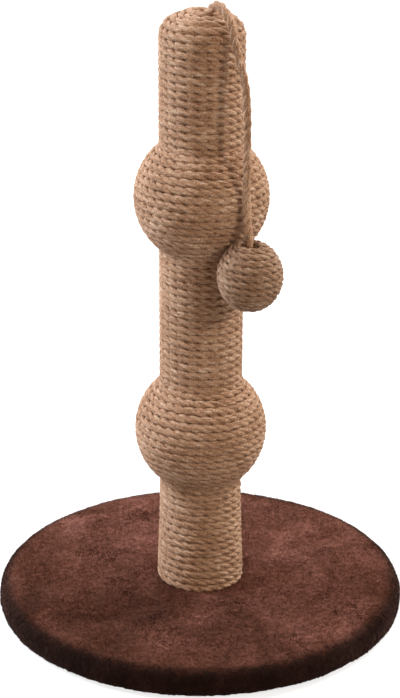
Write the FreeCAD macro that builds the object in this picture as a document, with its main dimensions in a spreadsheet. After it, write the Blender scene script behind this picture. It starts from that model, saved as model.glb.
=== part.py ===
"""Cat scratching post, in millimetres.

A round plush-covered board carries a cardboard tube. Two foam balls are threaded on the tube,
and one jute rope winds over everything, from the board up to the rounded top. A cord of the
same rope comes out of the top, goes over the shoulder and holds a rope-wound ball.

+Z is up. The origin is the centre of the base's underside. The ball hangs on the -Y side.
"""
import FreeCAD
import Part
import Sketcher
import math
import os

Vector = FreeCAD.Vector

doc = FreeCAD.newDocument("cat_scratching_post")

# ---------------------------------------------------------------------------------------
# Driving dimensions
# ---------------------------------------------------------------------------------------
SIZES = [
    ("board_radius", 157, "round fibreboard of the base"),
    ("board_thickness", 16, ""),
    ("board_edge_round", 4, "rounding of its upper edge"),
    ("plush_thickness", 3, "pile and backing, over the board and round its edge"),
    ("plush_pressed_thickness", 1.2, "under the foot of the post"),
    ("plush_rim_round", 7, "upper rim of the cover"),
    ("plush_hem_thickness", 1.6, "cover turned under the board"),
    ("plush_hem_width", 24, ""),
    ("plush_hem_round", 5, "lower rim of the cover"),
    ("plush_hole_radius", 9, "cut round the bolt"),
    ("plush_lip_round", 0.8, "edge of the dent that the post presses"),
    ("foot_clearance", 0.3, "between the rope and the dent's wall"),
    ("lining_inset", 7, "felt under the base, in from the board's edge"),
    ("lining_thickness", 1.4, ""),
    ("staple_crown", 10, "both kinds of staple, outside length"),
    ("staple_leg", 8, "outside length"),
    ("staple_wire", 0.9, "square wire"),
    ("staple_sink", 0.1, "crown below the face that it holds"),
    ("hem_staple_inset", 18, "staples that hold the cover, in from the board's edge"),
    ("hem_staple_count", 24, ""),
    ("lining_staple_inset", 4, "staples that hold the lining, in from its edge"),
    ("lining_staple_count", 12, ""),
    ("bolt_radius", 4, "thread's outside, M8"),
    ("bolt_length", 40, "under the head"),
    ("bolt_head_flats", 13, ""),
    ("bolt_head_height", 5.3, ""),
    ("bolt_chamfer", 0.8, "tip"),
    ("bolt_hole_clearance", 0.5, "round the bolt, in the board and washer"),
    ("counterbore_radius", 14, "for the bolt's head and washer"),
    ("counterbore_depth", 8, ""),
    ("washer_radius", 12, ""),
    ("washer_thickness", 2, ""),
    ("tube_radius", 26, "cardboard tube, outside"),
    ("tube_wall", 4, ""),
    ("plug_clearance", 0.2, "plugs in the tube"),
    ("bottom_plug_length", 25, ""),
    ("tee_flange_radius", 11, "tee nut on the bottom plug"),
    ("tee_flange_thickness", 1.5, ""),
    ("tee_barrel_wall", 1.2, ""),
    ("tee_barrel_length", 12, "with the flange"),
    ("tee_prong_length", 7, "under the flange"),
    ("tee_prong_width", 3, ""),
    ("tee_prong_radius", 9, "circle of the prongs"),
    ("tee_prong_count", 4, ""),
    ("nail_radius", 0.8, "tube nails"),
    ("nail_head_radius", 2, ""),
    ("nail_head_thickness", 0.8, ""),
    ("nail_length", 16, ""),
    ("nail_count", 4, "at each end of the tube"),
    ("bottom_nail_rise", 12, "above the tube's foot"),
    ("top_nail_drop", 12, "below the tube's top"),
    ("post_height", 474, "floor to the top of the rope"),
    ("top_plug_length", 22, "part of the top plug that is in the tube"),
    ("top_plug_round", 9.45, "shoulder that the rope winds over"),
    ("top_plug_slope", 8, "rise of its top towards the hole, in degrees"),
    ("top_plug_mouth_radius", 6, "widened mouth of the cord's hole"),
    ("top_plug_mouth_depth", 8, ""),
    ("bulge_form_radius", 45, "foam balls"),
    ("bulge_form_half_length", 35, "middle to cut end"),
    ("bulge_form_clearance", 0.15, "balls on the tube"),
    ("lower_bulge_height", 149.2, "middle of the lower ball"),
    ("upper_bulge_height", 336.6, "middle of the upper ball"),
    ("rope_diameter", 5.4, ""),
    ("rope_pitch", 5.95, "turn to turn, along the surface"),
    ("rope_seat", 0.15, "between the rope and what it winds on"),
    ("rope_bridge_radius", 10, "rope's middle, where it bridges onto a ball"),
    ("rope_top_end_radius", 9.6, "innermost turn round the cord's hole"),
    ("rope_top_end_pitch", 7.9, "pitch of that turn"),
    ("rope_foot_angle", -88, "where the rope starts, in degrees from +X"),
    ("cord_diameter", 5.8, "rope that holds the toy"),
    ("cord_joint_gap", 0.3, "between two stretches of it"),
    ("cord_hole_clearance", 0.5, "round it, in the plug and the toy"),
    ("knot_ring_radius", 3.2, "middle of a knot's loops"),
    ("knot_loop_spacing", 4.5, ""),
    ("knot_clearance", 0.3, "between a knot and what it stops against"),
    ("toy_core_radius", 19.7, "wooden ball of the toy"),
    ("toy_core_half_height", 22.2, ""),
    ("toy_drop", 46, "its middle below the upper bulge's middle"),
    ("toy_rest_gap", 0.3, "between the toy and the upper bulge"),
    ("toy_pocket_radius", 6.8, "pocket for the knot, in the core's underside"),
    ("toy_pocket_depth", 12.5, ""),
    ("toy_rope_diameter", 4.65, ""),
    ("toy_rope_pitch", 5.15, ""),
    ("toy_rope_end_pitch", 7.6, "first and last turn"),
    ("toy_rope_top_radius", 6, "turn round the cord"),
    ("toy_rope_bottom_radius", 9.3, "turn round the pocket"),
]

sheet = doc.addObject("Spreadsheet::Sheet", "sizes")
for row, (alias, number, meaning) in enumerate(SIZES, 1):
    sheet.set(f"A{row}", alias)
    sheet.set(f"B{row}", str(number))
    sheet.setAlias(f"B{row}", alias)
    sheet.set(f"C{row}", meaning)
doc.recompute()

# Levels above the floor and radii that follow from the sizes, as expressions for the features
HEM_BOTTOM = "sizes.lining_thickness"
LINING_RADIUS = "(sizes.board_radius - sizes.lining_inset)"
BOARD_BOTTOM = f"({HEM_BOTTOM} + sizes.plush_hem_thickness)"
BOARD_TOP = f"({BOARD_BOTTOM} + sizes.board_thickness)"
PLUSH_TOP = f"({BOARD_TOP} + sizes.plush_thickness)"
FOOT = f"({BOARD_TOP} + sizes.plush_pressed_thickness)"
COUNTERBORE_TOP = f"({BOARD_BOTTOM} + sizes.counterbore_depth)"
WASHER_BOTTOM = f"({COUNTERBORE_TOP} - sizes.washer_thickness)"
BOTTOM_PLUG_TOP = f"({FOOT} + sizes.bottom_plug_length)"
TEE_BARREL_RADIUS = "(sizes.bolt_radius + sizes.tee_barrel_wall)"
PLUG_RADIUS = "(sizes.tube_radius - sizes.tube_wall - sizes.plug_clearance)"
BOLT_HOLE_RADIUS = "(sizes.bolt_radius + sizes.bolt_hole_clearance)"
CORD_HOLE_RADIUS = "(sizes.cord_diameter / 2 + sizes.cord_hole_clearance)"
ROPE_LIFT = "(sizes.rope_seat + sizes.rope_diameter / 2)"
POST_RADIUS = "(sizes.tube_radius + sizes.rope_seat + sizes.rope_diameter)"
KNOT_HEIGHT = "(sizes.knot_loop_spacing + sizes.cord_diameter)"

# The rope's middle goes over the top plug's shoulder on this radius, then up its slope to the
# innermost turn, whose upper side is the post's full height.
SHOULDER_PATH_RADIUS = f"(sizes.top_plug_round + {ROPE_LIFT})"
SHOULDER_PATH_INNER = (
    f"(sizes.tube_radius + {ROPE_LIFT} - {SHOULDER_PATH_RADIUS} * (1 - sin(sizes.top_plug_slope)))"
)
TUBE_TOP = (
    f"(sizes.post_height - sizes.rope_diameter / 2"
    f" - {SHOULDER_PATH_RADIUS} * cos(sizes.top_plug_slope)"
    f" - ({SHOULDER_PATH_INNER} - sizes.rope_top_end_radius) * tan(sizes.top_plug_slope))"
)


def size(expression):
    """The number that an expression on the sheet gives."""
    return float(sheet.evalExpression(expression.replace("sizes.", "")))


# ---------------------------------------------------------------------------------------
# Making bodies
# ---------------------------------------------------------------------------------------
def new_body(name):
    body = doc.addObject("PartDesign::Body", name)
    body.Label = name
    return body


def sketch_on(body, role, offset=None):
    """A sketch on one of the body's own planes, moved along the plane's normal by offset."""
    sketch = body.newObject("Sketcher::SketchObject", f"{body.Name}_{role}_sketch")
    plane = next(f for f in body.Origin.OriginFeatures if f.Role == role)
    sketch.AttachmentSupport = (plane, [""])
    sketch.MapMode = "FlatFace"
    if offset:
        sketch.setExpression("AttachmentOffset.Base.z", offset)
    return sketch


def tie(sketch, kind, line, expression):
    """Hold a line's first point at a distance from the origin, or on the axis for a nought."""
    across = kind == "DistanceX"
    if expression == "0":
        sketch.addConstraint(Sketcher.Constraint("PointOnObject", line, 1, -2 if across else -1))
        return
    held = sketch.addConstraint(Sketcher.Constraint(kind, -1, 1, line, 1, size(expression)))
    sketch.setExpression(f"Constraints[{held}]", expression)


def outline(sketch, corners):
    """A closed ring of straight lines through corners, each given as two expressions."""
    points = [Vector(size(across), size(up), 0) for across, up in corners]
    for start, end in zip(points, points[1:] + points[:1]):
        sketch.addGeometry(Part.LineSegment(start, end))
    for line in range(len(corners)):
        following = (line + 1) % len(corners)
        sketch.addConstraint(Sketcher.Constraint("Coincident", line, 2, following, 1))
    for line, (across, up) in enumerate(corners):
        tie(sketch, "DistanceX", line, across)
        tie(sketch, "DistanceY", line, up)


def turned(name, corners):
    """A body turned about Z from its half section, as on a lathe."""
    body = new_body(name)
    sketch = sketch_on(body, "XZ_Plane")
    outline(sketch, corners)
    turn = body.newObject("PartDesign::Revolution", f"{name}_turn")
    turn.Profile = sketch
    turn.ReferenceAxis = (sketch, ["V_Axis"])
    turn.Angle = 360
    doc.recompute()
    return body


def round_ring(body, radius, level, rounding):
    """Round the circular edge that lies at a radius and a level."""
    solid = body.Tip
    for number, edge in enumerate(solid.Shape.Edges, 1):
        if isinstance(edge.Curve, Part.Circle):
            found = (edge.Curve.Radius, edge.Curve.Center.z)
            if math.dist(found, (size(radius), size(level))) < 1e-4:
                break
    else:
        raise ValueError(f"{body.Name} has no ring at {radius}, {level}")
    fillet = body.newObject("PartDesign::Fillet", f"{body.Name}_round")
    fillet.Base = (solid, [f"Edge{number}"])
    fillet.setExpression("Radius", rounding)
    doc.recompute()


def repeat(body, feature, count, name):
    """Repeat a feature evenly round Z."""
    pattern = body.newObject("PartDesign::PolarPattern", name)
    pattern.Originals = [feature]
    pattern.Axis = (next(f for f in body.Origin.OriginFeatures if f.Role == "Z_Axis"), [""])
    pattern.Angle = 360
    pattern.setExpression("Occurrences", count)
    body.Tip = pattern
    doc.recompute()


def cylinder(name, radius, height, base):
    """An upright cylinder on Z whose foot is at the level base."""
    rod = doc.addObject("Part::Cylinder", name)
    rod.setExpression("Radius", radius)
    rod.setExpression("Height", height)
    rod.setExpression("Placement.Base.z", base)
    return rod


def joined(name, kind, *pieces):
    """A Part boolean of two pieces, or of many where the kind takes them."""
    result = doc.addObject(kind, name)
    if kind == "Part::MultiFuse":
        result.Shapes = list(pieces)
    else:
        result.Base, result.Tool = pieces
    result.Label = name
    doc.recompute()
    return result


# ---------------------------------------------------------------------------------------
# Base: a fibreboard disc in a plush cover, with a felt lining under it
# ---------------------------------------------------------------------------------------
base_board = turned("base_board", [
    ("sizes.counterbore_radius", BOARD_BOTTOM),
    ("sizes.board_radius", BOARD_BOTTOM),
    ("sizes.board_radius", BOARD_TOP),
    (BOLT_HOLE_RADIUS, BOARD_TOP),
    (BOLT_HOLE_RADIUS, COUNTERBORE_TOP),
    ("sizes.counterbore_radius", COUNTERBORE_TOP),
])
round_ring(base_board, "sizes.board_radius", BOARD_TOP, "sizes.board_edge_round")

COVER_RADIUS = "(sizes.board_radius + sizes.plush_thickness)"
HEM_INNER_RADIUS = "(sizes.board_radius - sizes.plush_hem_width)"
DENT_RADIUS = f"({POST_RADIUS} + sizes.foot_clearance)"
base_plush_cover = turned("base_plush_cover", [
    ("sizes.plush_hole_radius", BOARD_TOP),
    ("sizes.board_radius", BOARD_TOP),
    ("sizes.board_radius", BOARD_BOTTOM),
    (HEM_INNER_RADIUS, BOARD_BOTTOM),
    (HEM_INNER_RADIUS, HEM_BOTTOM),
    (COVER_RADIUS, HEM_BOTTOM),
    (COVER_RADIUS, PLUSH_TOP),
    (DENT_RADIUS, PLUSH_TOP),
    (DENT_RADIUS, FOOT),
    ("sizes.plush_hole_radius", FOOT),
])
round_ring(base_plush_cover, COVER_RADIUS, PLUSH_TOP, "sizes.plush_rim_round")
round_ring(base_plush_cover, COVER_RADIUS, HEM_BOTTOM, "sizes.plush_hem_round")
round_ring(base_plush_cover, "sizes.board_radius", BOARD_TOP, "sizes.board_edge_round")
round_ring(base_plush_cover, DENT_RADIUS, PLUSH_TOP, "sizes.plush_lip_round")

base_lining = turned("base_lining", [
    ("0", "0"),
    (LINING_RADIUS, "0"),
    (LINING_RADIUS, "sizes.lining_thickness"),
    ("0", "sizes.lining_thickness"),
])


def staple_ring(name, ring_radius, crown_bottom, count):
    """Staples round Z, driven upwards, each with its crown along the ring."""
    body = new_body(name)
    sketch = sketch_on(body, "XZ_Plane", f"{ring_radius} - sizes.staple_wire / 2")
    half = "sizes.staple_crown / 2"
    crown_top = f"{crown_bottom} + sizes.staple_wire"
    tip = f"{crown_bottom} + sizes.staple_leg"
    outline(sketch, [
        (f"-{half}", crown_bottom),
        (half, crown_bottom),
        (half, tip),
        (f"{half} - sizes.staple_wire", tip),
        (f"{half} - sizes.staple_wire", crown_top),
        (f"-{half} + sizes.staple_wire", crown_top),
        (f"-{half} + sizes.staple_wire", tip),
        (f"-{half}", tip),
    ])
    staple = body.newObject("PartDesign::Pad", f"{name}_staple")
    staple.Profile = sketch
    staple.setExpression("Length", "sizes.staple_wire")
    doc.recompute()
    repeat(body, staple, count, f"{name}_ring")


staple_ring("hem_staples", "(sizes.board_radius - sizes.hem_staple_inset)",
            f"({HEM_BOTTOM} + sizes.staple_sink)", "sizes.hem_staple_count")
staple_ring("lining_staples", f"({LINING_RADIUS} - sizes.lining_staple_inset)",
            "sizes.staple_sink", "sizes.lining_staple_count")

# The bolt goes up through the board and plush into the tee nut on top of the bottom plug.
base_washer = turned("base_washer", [
    (BOLT_HOLE_RADIUS, WASHER_BOTTOM),
    ("sizes.washer_radius", WASHER_BOTTOM),
    ("sizes.washer_radius", COUNTERBORE_TOP),
    (BOLT_HOLE_RADIUS, COUNTERBORE_TOP),
])
bolt_head = doc.addObject("Part::Prism", "bolt_head")
bolt_head.Polygon = 6
bolt_head.setExpression("Circumradius", "sizes.bolt_head_flats / sqrt(3)")
bolt_head.setExpression("Height", "sizes.bolt_head_height")
bolt_head.setExpression("Placement.Base.z", f"{WASHER_BOTTOM} - sizes.bolt_head_height")
bolt_shank = cylinder("bolt_shank", "sizes.bolt_radius - sizes.bolt_chamfer",
                      "sizes.bolt_length", WASHER_BOTTOM)
bolt_thread = cylinder("bolt_thread", "sizes.bolt_radius",
                       "sizes.bolt_length - sizes.bolt_chamfer", WASHER_BOTTOM)
base_bolt = joined("base_bolt", "Part::MultiFuse", bolt_head, bolt_shank, bolt_thread)

# ---------------------------------------------------------------------------------------
# Post: cardboard tube, a wooden plug in each end, and two bored foam balls on the tube
# ---------------------------------------------------------------------------------------
TUBE_BORE = "(sizes.tube_radius - sizes.tube_wall)"
post_tube = turned("post_tube", [
    (TUBE_BORE, FOOT),
    ("sizes.tube_radius", FOOT),
    ("sizes.tube_radius", TUBE_TOP),
    (TUBE_BORE, TUBE_TOP),
])

TEE_BARREL_FOOT = f"({BOTTOM_PLUG_TOP} + sizes.tee_flange_thickness - sizes.tee_barrel_length)"
bottom_plug = turned("bottom_plug", [
    (BOLT_HOLE_RADIUS, FOOT),
    (PLUG_RADIUS, FOOT),
    (PLUG_RADIUS, BOTTOM_PLUG_TOP),
    (TEE_BARREL_RADIUS, BOTTOM_PLUG_TOP),
    (TEE_BARREL_RADIUS, TEE_BARREL_FOOT),
    (BOLT_HOLE_RADIUS, TEE_BARREL_FOOT),
])

tee_nut = turned("tee_nut", [
    ("sizes.bolt_radius", TEE_BARREL_FOOT),
    (TEE_BARREL_RADIUS, TEE_BARREL_FOOT),
    (TEE_BARREL_RADIUS, BOTTOM_PLUG_TOP),
    ("sizes.tee_flange_radius", BOTTOM_PLUG_TOP),
    ("sizes.tee_flange_radius", f"{BOTTOM_PLUG_TOP} + sizes.tee_flange_thickness"),
    ("sizes.bolt_radius", f"{BOTTOM_PLUG_TOP} + sizes.tee_flange_thickness"),
])
prong_sketch = sketch_on(tee_nut, "YZ_Plane", "-sizes.tee_flange_thickness / 2 + sizes.tee_prong_radius")
outline(prong_sketch, [
    ("-sizes.tee_prong_width / 2", BOTTOM_PLUG_TOP),
    ("0", f"{BOTTOM_PLUG_TOP} - sizes.tee_prong_length"),
    ("sizes.tee_prong_width / 2", BOTTOM_PLUG_TOP),
])
prong = tee_nut.newObject("PartDesign::Pad", "tee_nut_prong")
prong.Profile = prong_sketch
prong.setExpression("Length", "sizes.tee_flange_thickness")
doc.recompute()
repeat(tee_nut, prong, "sizes.tee_prong_count", "tee_nut_prongs")

# The top plug's spigot is in the tube. Above the tube it is rounded over and rises to the
# widened mouth of the cord's hole.
SHOULDER_TOP = f"({TUBE_TOP} + sizes.top_plug_round * cos(sizes.top_plug_slope))"
SLOPE_START = f"(sizes.tube_radius - sizes.top_plug_round * (1 - sin(sizes.top_plug_slope)))"
MOUTH_TOP = (
    f"({SHOULDER_TOP} + ({SLOPE_START} - sizes.top_plug_mouth_radius)"
    f" * tan(sizes.top_plug_slope))"
)
TOP_PLUG_FOOT = f"({TUBE_TOP} - sizes.top_plug_length)"
CORNER_TOP = f"({SHOULDER_TOP} - (sizes.tube_radius - {SLOPE_START}) * tan(sizes.top_plug_slope))"
top_plug = turned("top_plug", [
    (CORD_HOLE_RADIUS, TOP_PLUG_FOOT),
    (PLUG_RADIUS, TOP_PLUG_FOOT),
    (PLUG_RADIUS, TUBE_TOP),
    ("sizes.tube_radius", TUBE_TOP),
    ("sizes.tube_radius", CORNER_TOP),
    ("sizes.top_plug_mouth_radius", MOUTH_TOP),
    (CORD_HOLE_RADIUS, f"{MOUTH_TOP} - sizes.top_plug_mouth_depth"),
])
CORNER_ROUND = f"({CORNER_TOP} - {TUBE_TOP}) / tan((90 - sizes.top_plug_slope) / 2) * 0.999"
round_ring(top_plug, "sizes.tube_radius", CORNER_TOP, CORNER_ROUND)


def nail_ring(name, level):
    """Nails driven through the tube into a plug, with their heads sunk flush."""
    body = new_body(name)
    sketch = sketch_on(body, "XY_Plane", level)
    neck = "sizes.tube_radius - sizes.nail_head_thickness"
    outline(sketch, [
        ("sizes.tube_radius - sizes.nail_length", "0"),
        ("sizes.tube_radius", "0"),
        ("sizes.tube_radius", "sizes.nail_head_radius"),
        (neck, "sizes.nail_head_radius"),
        (neck, "sizes.nail_radius"),
        ("sizes.tube_radius - sizes.nail_length + 2 * sizes.nail_radius", "sizes.nail_radius"),
    ])
    nail = body.newObject("PartDesign::Revolution", f"{name}_nail")
    nail.Profile = sketch
    nail.ReferenceAxis = (sketch, ["H_Axis"])
    nail.Angle = 360
    doc.recompute()
    repeat(body, nail, "sizes.nail_count", f"{name}_ring")


nail_ring("bottom_plug_nails", f"{FOOT} + sizes.bottom_nail_rise")
nail_ring("top_plug_nails", f"{TUBE_TOP} - sizes.top_nail_drop")


def bulge_form(name, height):
    """A foam ball bored for the tube and cut flat at both ends of the bore."""
    cut_angle = "asin(sizes.bulge_form_half_length / sizes.bulge_form_radius)"
    ball = doc.addObject("Part::Sphere", f"{name}_ball")
    ball.setExpression("Radius", "sizes.bulge_form_radius")
    ball.setExpression("Angle1", f"-{cut_angle}")
    ball.setExpression("Angle2", cut_angle)
    ball.setExpression("Placement.Base.z", height)
    bore = cylinder(f"{name}_bore", "sizes.tube_radius + sizes.bulge_form_clearance",
                    "2 * sizes.bulge_form_radius", f"{height} - sizes.bulge_form_radius")
    joined(name, "Part::Cut", ball, bore)


bulge_form("upper_bulge_form", "sizes.upper_bulge_height")
bulge_form("lower_bulge_form", "sizes.lower_bulge_height")


# ---------------------------------------------------------------------------------------
# Rope winding
# ---------------------------------------------------------------------------------------
def arc_points(centre, radius, start, stop, step=0.1):
    """Points of an arc in the half section, from angle start to angle stop in radians."""
    count = max(2, round(abs(stop - start) * radius / step))
    angles = [start + (stop - start) * i / count for i in range(count + 1)]
    return [(centre[0] + radius * math.cos(a), centre[1] + radius * math.sin(a)) for a in angles]


def line_points(start, stop, step=0.1):
    """Points of a straight line in the half section."""
    count = max(2, round(math.dist(start, stop) / step))
    return [
        tuple(a + (b - a) * i / count for a, b in zip(start, stop)) for i in range(count + 1)
    ]


class Winding:
    """A rope's middle: turns round Z that climb along a line in the half section.

    The pitch is measured along that line. The first and last turn may have a pitch of their
    own. Seen from above, the rope runs clockwise as it goes along the line.
    """

    def __init__(self, section, pitch, first_pitch, last_pitch, start_angle):
        self.section = section
        self.run = [0.0]
        for before, after in zip(section, section[1:]):
            self.run.append(self.run[-1] + math.dist(before, after))
        self.pitch = pitch
        self.first_pitch = first_pitch
        self.last_pitch = last_pitch
        self.start_angle = start_angle
        self.turns = (self.run[-1] - first_pitch - last_pitch) / pitch + 2

    def point(self, turn):
        """The point after a number of turns from the start."""
        if turn < 1:
            run = turn * self.first_pitch
        elif turn > self.turns - 1:
            run = self.run[-1] - (self.turns - turn) * self.last_pitch
        else:
            run = self.first_pitch + (turn - 1) * self.pitch
        low, high = 0, len(self.run) - 1
        while high - low > 1:
            middle = (low + high) // 2
            if self.run[middle] <= run:
                low = middle
            else:
                high = middle
        share = (run - self.run[low]) / (self.run[high] - self.run[low])
        radius, level = (a + (b - a) * share for a, b in zip(self.section[low], self.section[high]))
        angle = self.start_angle - 2 * math.pi * turn
        return Vector(radius * math.cos(angle), radius * math.sin(angle), level)

    def direction(self, turn, step=0.01):
        before = max(0.0, turn - step)
        after = min(self.turns, turn + step)
        return (self.point(after) - self.point(before)).normalize()


def arc_from(start, direction, end):
    """The arc that leaves start along direction and ends at end."""
    chord = end - start
    across = direction - chord * (direction.dot(chord) / chord.dot(chord))
    half_turn = direction.getAngle(chord) / 2
    middle = (start + end) * 0.5 + across.normalize() * (chord.Length / 2 * math.tan(half_turn))
    return Part.Arc(start, middle, end)


def biarc(start, start_direction, end, end_direction):
    """Two arcs that join smoothly, and that keep the directions at both ends."""
    chord = end - start
    both = start_direction + end_direction
    a = 2 * (1 - start_direction.dot(end_direction))
    b = 2 * chord.dot(both)
    reach = (math.sqrt(b * b + 4 * a * chord.dot(chord)) - b) / (2 * a)
    meeting = (start + end + (start_direction - end_direction) * reach) * 0.5
    first = arc_from(start, start_direction, meeting)
    back = arc_from(end, end_direction * -1, meeting)
    halfway = back.value((back.FirstParameter + back.LastParameter) / 2)
    return [first, Part.Arc(meeting, halfway, end)]


def least_gap(wire, diameter):
    """The least clear gap between stretches of a tube that lie over three diameters apart on it."""
    points = [p for edge in wire.OrderedEdges for p in edge.discretize(Number=7)[:-1]]
    along = [0.0]
    for before, after in zip(points, points[1:]):
        along.append(along[-1] + before.distanceToPoint(after))
    coordinates = [(p.x, p.y, p.z) for p in points]
    least = math.inf
    for i, (x, y, z) in enumerate(coordinates):
        for j in range(i + 1, len(coordinates) - 1):
            ax, ay, az = coordinates[j]
            if abs(az - z) + abs(ax - x) + abs(ay - y) > 3 * diameter:
                continue
            if along[j] - along[i] < 3 * diameter:
                continue
            bx, by, bz = coordinates[j + 1]
            dx, dy, dz = bx - ax, by - ay, bz - az
            share = ((x - ax) * dx + (y - ay) * dy + (z - az) * dz) / (dx * dx + dy * dy + dz * dz)
            share = min(1.0, max(0.0, share))
            near = (ax + share * dx, ay + share * dy, az + share * dz)
            least = min(least, math.dist((x, y, z), near))
    return least - diameter


def wound_tube(name, winding, diameter, first_turn, last_turn):
    """One unbroken tube from first_turn to last_turn, straight for one diameter at each end.

    A cut end goes on straight from the last bit of winding. Where another stretch carries on,
    both run straight at the point that they share.
    """
    first_share = diameter / (2 * math.pi * math.hypot(*winding.point(first_turn)[:2]))
    last_share = diameter / (2 * math.pi * math.hypot(*winding.point(last_turn)[:2]))
    if first_turn == 0:
        start_direction = winding.direction(first_share)
        start = winding.point(first_share) - start_direction * diameter
    else:
        start, start_direction = winding.point(first_turn), winding.direction(first_turn)
    if last_turn == winding.turns:
        end_direction = winding.direction(last_turn - last_share)
        end = winding.point(last_turn - last_share) + end_direction * diameter
    else:
        end, end_direction = winding.point(last_turn), winding.direction(last_turn)
    knots = [(start + start_direction * diameter, start_direction)]
    quarters = round((last_turn - first_turn) * 4)
    for i in range(1, quarters):
        turn = first_turn + (last_turn - first_turn) * i / quarters
        knots.append((winding.point(turn), winding.direction(turn)))
    knots.append((end - end_direction * diameter, end_direction))
    curves = [Part.LineSegment(start, knots[0][0])]
    for (here, heading), (there, arriving) in zip(knots, knots[1:]):
        curves += biarc(here, heading, there, arriving)
    curves.append(Part.LineSegment(knots[-1][0], end))
    wire = Part.Wire([curve.toShape() for curve in curves])
    mouth = Part.Wire([Part.makeCircle(diameter / 2, start, start_direction)])
    solid = doc.addObject("Part::Feature", name)
    solid.Label = name
    solid.Shape = wire.makePipeShell([mouth], True, False)
    solid.Placement = FreeCAD.Placement()
    tightest = min(edge.Curve.Radius for edge in wire.Edges if isinstance(edge.Curve, Part.Circle))
    print(f"{name}: {last_turn - first_turn:.2f} turns, tightest radius {tightest:.1f} mm,"
          f" least gap to itself {least_gap(wire, diameter):.2f} mm")
    return solid


def bulge_section(height, straight_radius):
    """Half section of the rope's middle over one ball, with the bridges below and above it."""
    ball = size("sizes.bulge_form_radius") + size(ROPE_LIFT)
    bridge = size("sizes.rope_bridge_radius")
    middle = size(height)
    drop = math.sqrt((ball + bridge) ** 2 - (straight_radius + bridge) ** 2)
    lean = math.atan2(drop, straight_radius + bridge)
    lower = arc_points((straight_radius + bridge, middle - drop), bridge, math.pi, math.pi - lean)
    over = arc_points((0, middle), ball, -lean, lean)
    upper = arc_points((straight_radius + bridge, middle + drop), bridge, math.pi + lean, math.pi)
    return lower + over[1:] + upper[1:]


straight_radius = size(f"sizes.tube_radius + {ROPE_LIFT}")
rope_foot = (straight_radius, size(f"{FOOT} + {ROPE_LIFT} + sizes.foot_clearance - sizes.rope_seat"))
lower_bulge = bulge_section("sizes.lower_bulge_height", straight_radius)
upper_bulge = bulge_section("sizes.upper_bulge_height", straight_radius)
shoulder_radius = size(SHOULDER_PATH_RADIUS)
slope = math.radians(size("sizes.top_plug_slope"))
shoulder = arc_points((straight_radius - shoulder_radius, size(TUBE_TOP)), shoulder_radius,
                      0, math.pi / 2 - slope)
rope_top = (size("sizes.rope_top_end_radius"),
            size("sizes.post_height - sizes.rope_diameter / 2"))
section = (
    line_points(rope_foot, lower_bulge[0])
    + lower_bulge[1:]
    + line_points(lower_bulge[-1], upper_bulge[0])[1:]
    + upper_bulge[1:]
    + line_points(upper_bulge[-1], shoulder[0])[1:]
    + shoulder[1:]
    + line_points(shoulder[-1], rope_top)[1:]
)
rope = Winding(section, size("sizes.rope_pitch"), size("sizes.rope_pitch"),
               size("sizes.rope_top_end_pitch"), math.radians(size("sizes.rope_foot_angle")))

# The rope is one length. It is divided at the back of the post, on straight stretches of it:
# a turn or so before each ball and the shoulder, and after each ball.
BACK_SHARE = 0.75
ROUNDING = ((lower_bulge[0], math.floor), (lower_bulge[-1], math.ceil),
            (upper_bulge[0], math.floor), (upper_bulge[-1], math.ceil), (shoulder[0], math.floor))
stretches = [0]
for mark, rounding in ROUNDING:
    run = rope.run[section.index(mark)]
    clear_turn = -0.5 if rounding is math.floor else 0.5
    stretches.append(rounding(run / rope.pitch - BACK_SHARE + clear_turn) + BACK_SHARE)
stretches.append(rope.turns)
ROPE_NODES = ("rope_bottom_stretch", "rope_lower_bulge", "rope_middle_stretch",
              "rope_upper_bulge", "rope_upper_stretch", "rope_top_spiral")
for name, first_turn, last_turn in zip(ROPE_NODES, stretches, stretches[1:]):
    wound_tube(name, rope, size("sizes.rope_diameter"), first_turn, last_turn)

# ---------------------------------------------------------------------------------------
# Toy: a wooden ball wound with rope, which hangs against the upper bulge
# ---------------------------------------------------------------------------------------
toy_lift = size("sizes.rope_seat + sizes.toy_rope_diameter / 2")
toy_level = size("sizes.upper_bulge_height - sizes.toy_drop")
core_radius = size("sizes.toy_core_radius")
core_half_height = size("sizes.toy_core_half_height")

# Reach: the ball's middle lies where its outline, towards the bulge's middle, meets the bulge.
bulge_radius = size("sizes.bulge_form_radius + sizes.rope_seat + sizes.rope_diameter")
toy_radius = core_radius + size("sizes.rope_seat + sizes.toy_rope_diameter")
toy_half_height = core_half_height + size("sizes.rope_seat + sizes.toy_rope_diameter")
drop_to_toy = size("sizes.toy_drop")
toy_reach = bulge_radius
for _ in range(20):
    tilt = math.atan2(drop_to_toy, toy_reach)
    towards = 1 / math.hypot(math.cos(tilt) / toy_radius, math.sin(tilt) / toy_half_height)
    apart = bulge_radius + towards + size("sizes.toy_rest_gap")
    toy_reach = math.sqrt(apart ** 2 - drop_to_toy ** 2)

toy_ball = doc.addObject("Part::Ellipsoid", "toy_ball")
toy_ball.setExpression("Radius1", "sizes.toy_core_half_height")
toy_ball.setExpression("Radius2", "sizes.toy_core_radius")
toy_ball.setExpression("Radius3", "sizes.toy_core_radius")
toy_hole = cylinder("toy_hole", CORD_HOLE_RADIUS, "2 * sizes.toy_core_half_height",
                    "-sizes.toy_core_half_height")
toy_pocket = cylinder("toy_pocket", "sizes.toy_pocket_radius", "sizes.toy_pocket_depth",
                      "-sizes.toy_core_half_height")
toy_bores = joined("toy_bores", "Part::MultiFuse", toy_hole, toy_pocket)
toy_core = joined("toy_core", "Part::Cut", toy_ball, toy_bores)
toy_core.Placement = FreeCAD.Placement(Vector(0, -toy_reach, toy_level), FreeCAD.Rotation())


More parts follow.
